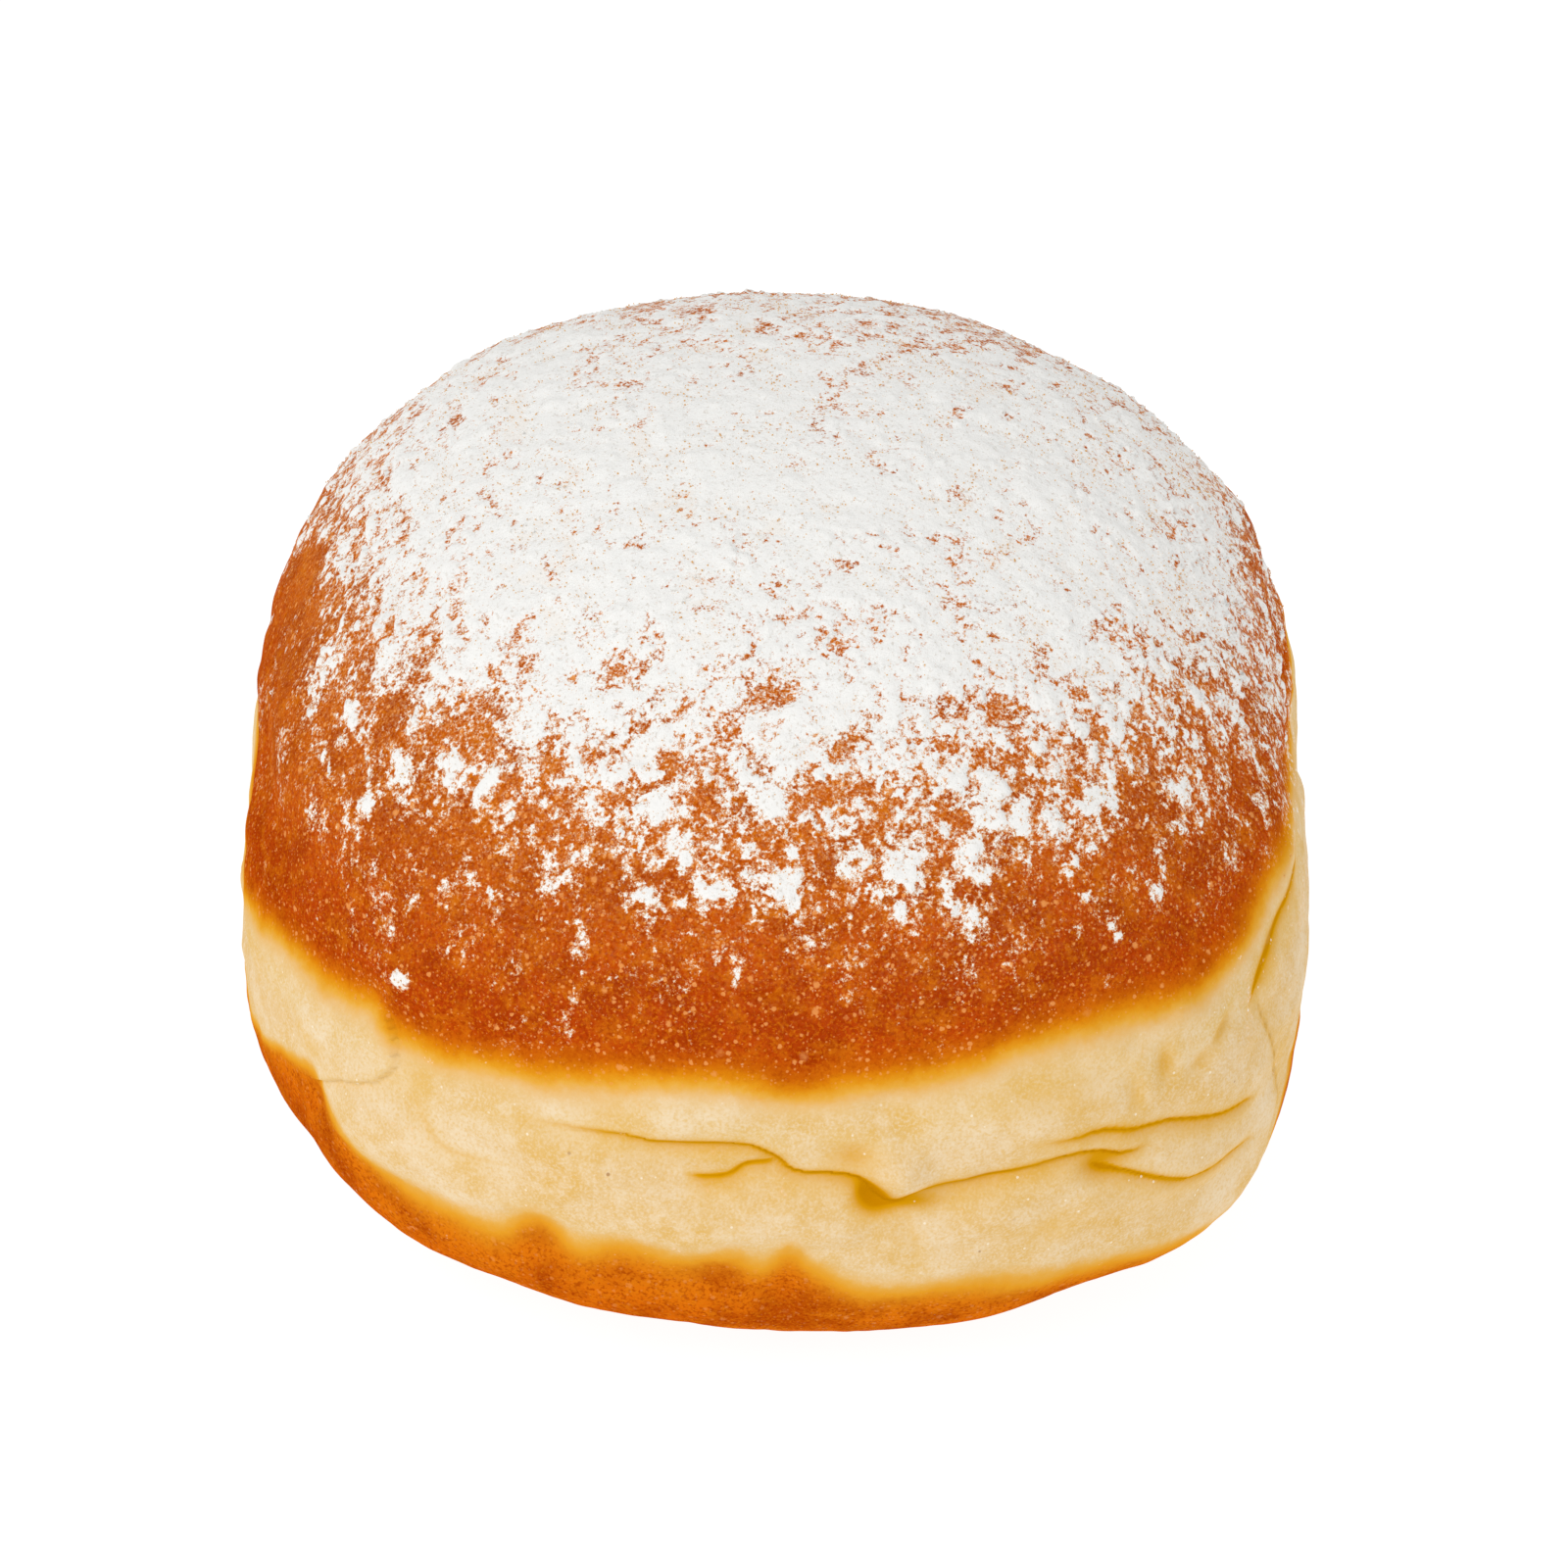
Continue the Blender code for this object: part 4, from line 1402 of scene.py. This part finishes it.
@dataclass(frozen=True)
class IcingSugar:
    """Icing sugar in loose grains and lumps: matt and white, or yellow where fat soaked it."""

    name: str = "icing_sugar_loose"
    tints: Shades = Shades(((0.0, "#F2F0EB"), (1.0, "#FAF9F6")))
    roughness: float = 0.85
    powder_depth: float = 0.04

    def build(self) -> bpy.types.Material:
        """Make the material with a faint powder bump.

        Returns:
            The material.
        """
        bench = NodeBench(self.name)
        tint = self.tints.along(bench, bench.add("TexNoise", bench.pattern(0.3)))
        powder = bench.add("TexNoise", bench.pattern(0.12, Detail=1.0))
        height = bench.add("Math", (powder, self.powder_depth * MM), operation="MULTIPLY")
        bump = bench.add("Bump", {"Strength": 1.0, "Distance": 1.0, "Height": height})
        return bench.finish({"Base Color": tint, "Roughness": self.roughness, "IOR": 1.5,
                             "Specular IOR Level": 0.05, "Normal": bump})


@dataclass(frozen=True)
class StudioPaper:
    """Matt white paper lit from below as on a light table, with a faint tone.

    The glow keeps the ground white round the doughnut, as the picture has it.
    """

    name: str = "studio_paper"
    tints: Shades = Shades(((0.0, "#717170"), (1.0, "#747473")))
    glow: float = 0.93

    def build(self) -> bpy.types.Material:
        """Make the material.

        Returns:
            The material.
        """
        bench = NodeBench(self.name)
        tone = self.tints.along(bench, bench.add("TexNoise", bench.pattern(60.0)))
        return bench.finish({"Base Color": tone, "Roughness": 0.9,
                             "Emission Color": (1.0, 1.0, 1.0, 1.0),
                             "Emission Strength": self.glow})


# Stage


@dataclass
class Studio:
    """Pale floor, a bright soft room with two soft boxes, and the picture's camera.

    Sizes of the floor and lamps are in metres. lamps are names, places and watts, and aim
    is the point that they face. The camera stands distance mm from the doughnut's middle,
    which falls middle_right and middle_up of its frame_pixels off the picture's middle.
    """

    floor_half: float = 1.5
    room: float = 0.64
    lamps: tuple[tuple[str, tuple[float, float, float], float], ...] = (
        ("key_softbox", (-0.45, -0.45, 0.7), 2.8), ("fill_softbox", (0.6, -0.4, 0.5), 0.6))
    lamp_side: float = 0.5
    aim: tuple[float, float, float] = (0.0, 0.0, 0.03)
    elevation: float = 37.8
    roll: float = 2.34
    distance: float = 360.0
    focal_pixels: float = 4715.0
    frame_pixels: float = 1600.0
    middle_right: float = -7.7
    middle_up: float = -72.3
    sensor: float = 36.0

    def floor(self) -> None:
        """Lay a square sheet of paper under the doughnut."""
        corners = np.array([(-1, -1, 0), (1, -1, 0), (1, 1, 0), (-1, 1, 0)]) * self.floor_half
        made = mesh_object("studio_floor", corners, [np.array([[0, 1, 2, 3]])])
        made.data.materials.append(StudioPaper().build())

    def light(self) -> None:
        """Light the room evenly and hang the square soft boxes, turned to their aim."""
        world = bpy.data.worlds.new("studio_room")
        world.use_nodes = True
        room = world.node_tree.nodes["Background"]
        room.inputs["Color"].default_value = (1.0, 1.0, 1.0, 1.0)
        room.inputs["Strength"].default_value = self.room
        bpy.context.scene.world = world
        for name, place, watts in self.lamps:
            data = bpy.data.lights.new(name, "AREA")
            data.size = self.lamp_side
            data.energy = watts
            made = bpy.data.objects.new(name, data)
            made.location = place
            look = Vector(self.aim) - Vector(place)
            made.rotation_euler = look.to_track_quat("-Z", "Y").to_euler()
            bpy.context.scene.collection.objects.link(made)

    def camera(self, middle: Array) -> None:
        """Set the camera.

        It stands off the doughnut's middle by its distance, is turned about its line of
        sight by the roll, and looks past the middle so that it falls where the picture
        has it.

        Args:
            middle: The middle of the widest level, in metres.
        """
        lift, roll = math.radians(self.elevation), math.radians(self.roll)
        back = Vector((0.0, -math.cos(lift), math.sin(lift)))
        right = Vector((1.0, 0.0, 0.0))
        up = back.cross(right)
        side = right * math.cos(roll) + up * math.sin(roll)
        above = up * math.cos(roll) - right * math.sin(roll)
        place = Vector(middle) + back * self.distance * MM
        pixel = self.distance * MM / self.focal_pixels
        aim = Vector(middle) - side * self.middle_right * pixel - above * self.middle_up * pixel
        rear = (place - aim).normalized()
        across = above.cross(rear).normalized()
        turned = Matrix((across, rear.cross(across), rear)).transposed()
        data = bpy.data.cameras.new("camera")
        data.sensor_width = self.sensor
        data.lens = self.focal_pixels / self.frame_pixels * self.sensor
        data.clip_start = 0.01
        made = bpy.data.objects.new("camera", data)
        made.matrix_world = Matrix.Translation(place) @ turned.to_4x4()
        bpy.context.scene.collection.objects.link(made)
        bpy.context.scene.camera = made


def report(piece: bpy.types.Object) -> None:
    """Log a piece's name and how many triangles it has."""
    piece.data.calc_loop_triangles()
    LOG.info("%s: %d triangles", piece.name, len(piece.data.loop_triangles))


def main() -> None:
    """Build each piece in order, dress it, and set the stage."""
    logging.basicConfig(level=logging.INFO, format="%(message)s")
    bpy.context.scene.view_settings.view_transform = "Standard"
    dough = Dough()
    sugar = SugarField(dough)
    dusted = FriedDough().build()
    loose = IcingSugar().build()
    soaked = IcingSugar("icing_sugar_soaked",
                        Shades(((0.0, "#E0A052"), (1.0, "#F2C484")))).build()
    body = dough.build(sugar)
    body.data.materials.append(dusted)
    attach(body, ROOT_BODY)
    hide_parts(DOUGH_NODE)
    report(body)
    coats = [SugarCoat(sugar, half).build() for half in Half]
    for coat in coats:
        coat.data.materials.append(dusted)
    lumps = SugarGrains(sugar, Grain.LUMP, "icing_sugar_lumps", 900, (0.10, 0.28),
                        0.0, 2.4, 5).build()
    lumps.data.materials.append(loose)
    dust = SugarGrains(sugar, Grain.DUST, "icing_sugar_dust", 18000, (0.07, 0.18),
                       -2.4, 1.0, 6).build()
    dust.data.materials.append(soaked)
    for piece in (*coats, lumps, dust):
        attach(piece, ROOT_BODY)
        report(piece)
    studio = Studio()
    studio.floor()
    studio.light()
    studio.camera(dough.to_model(np.zeros(3)))


if __name__ == "__main__":
    main()
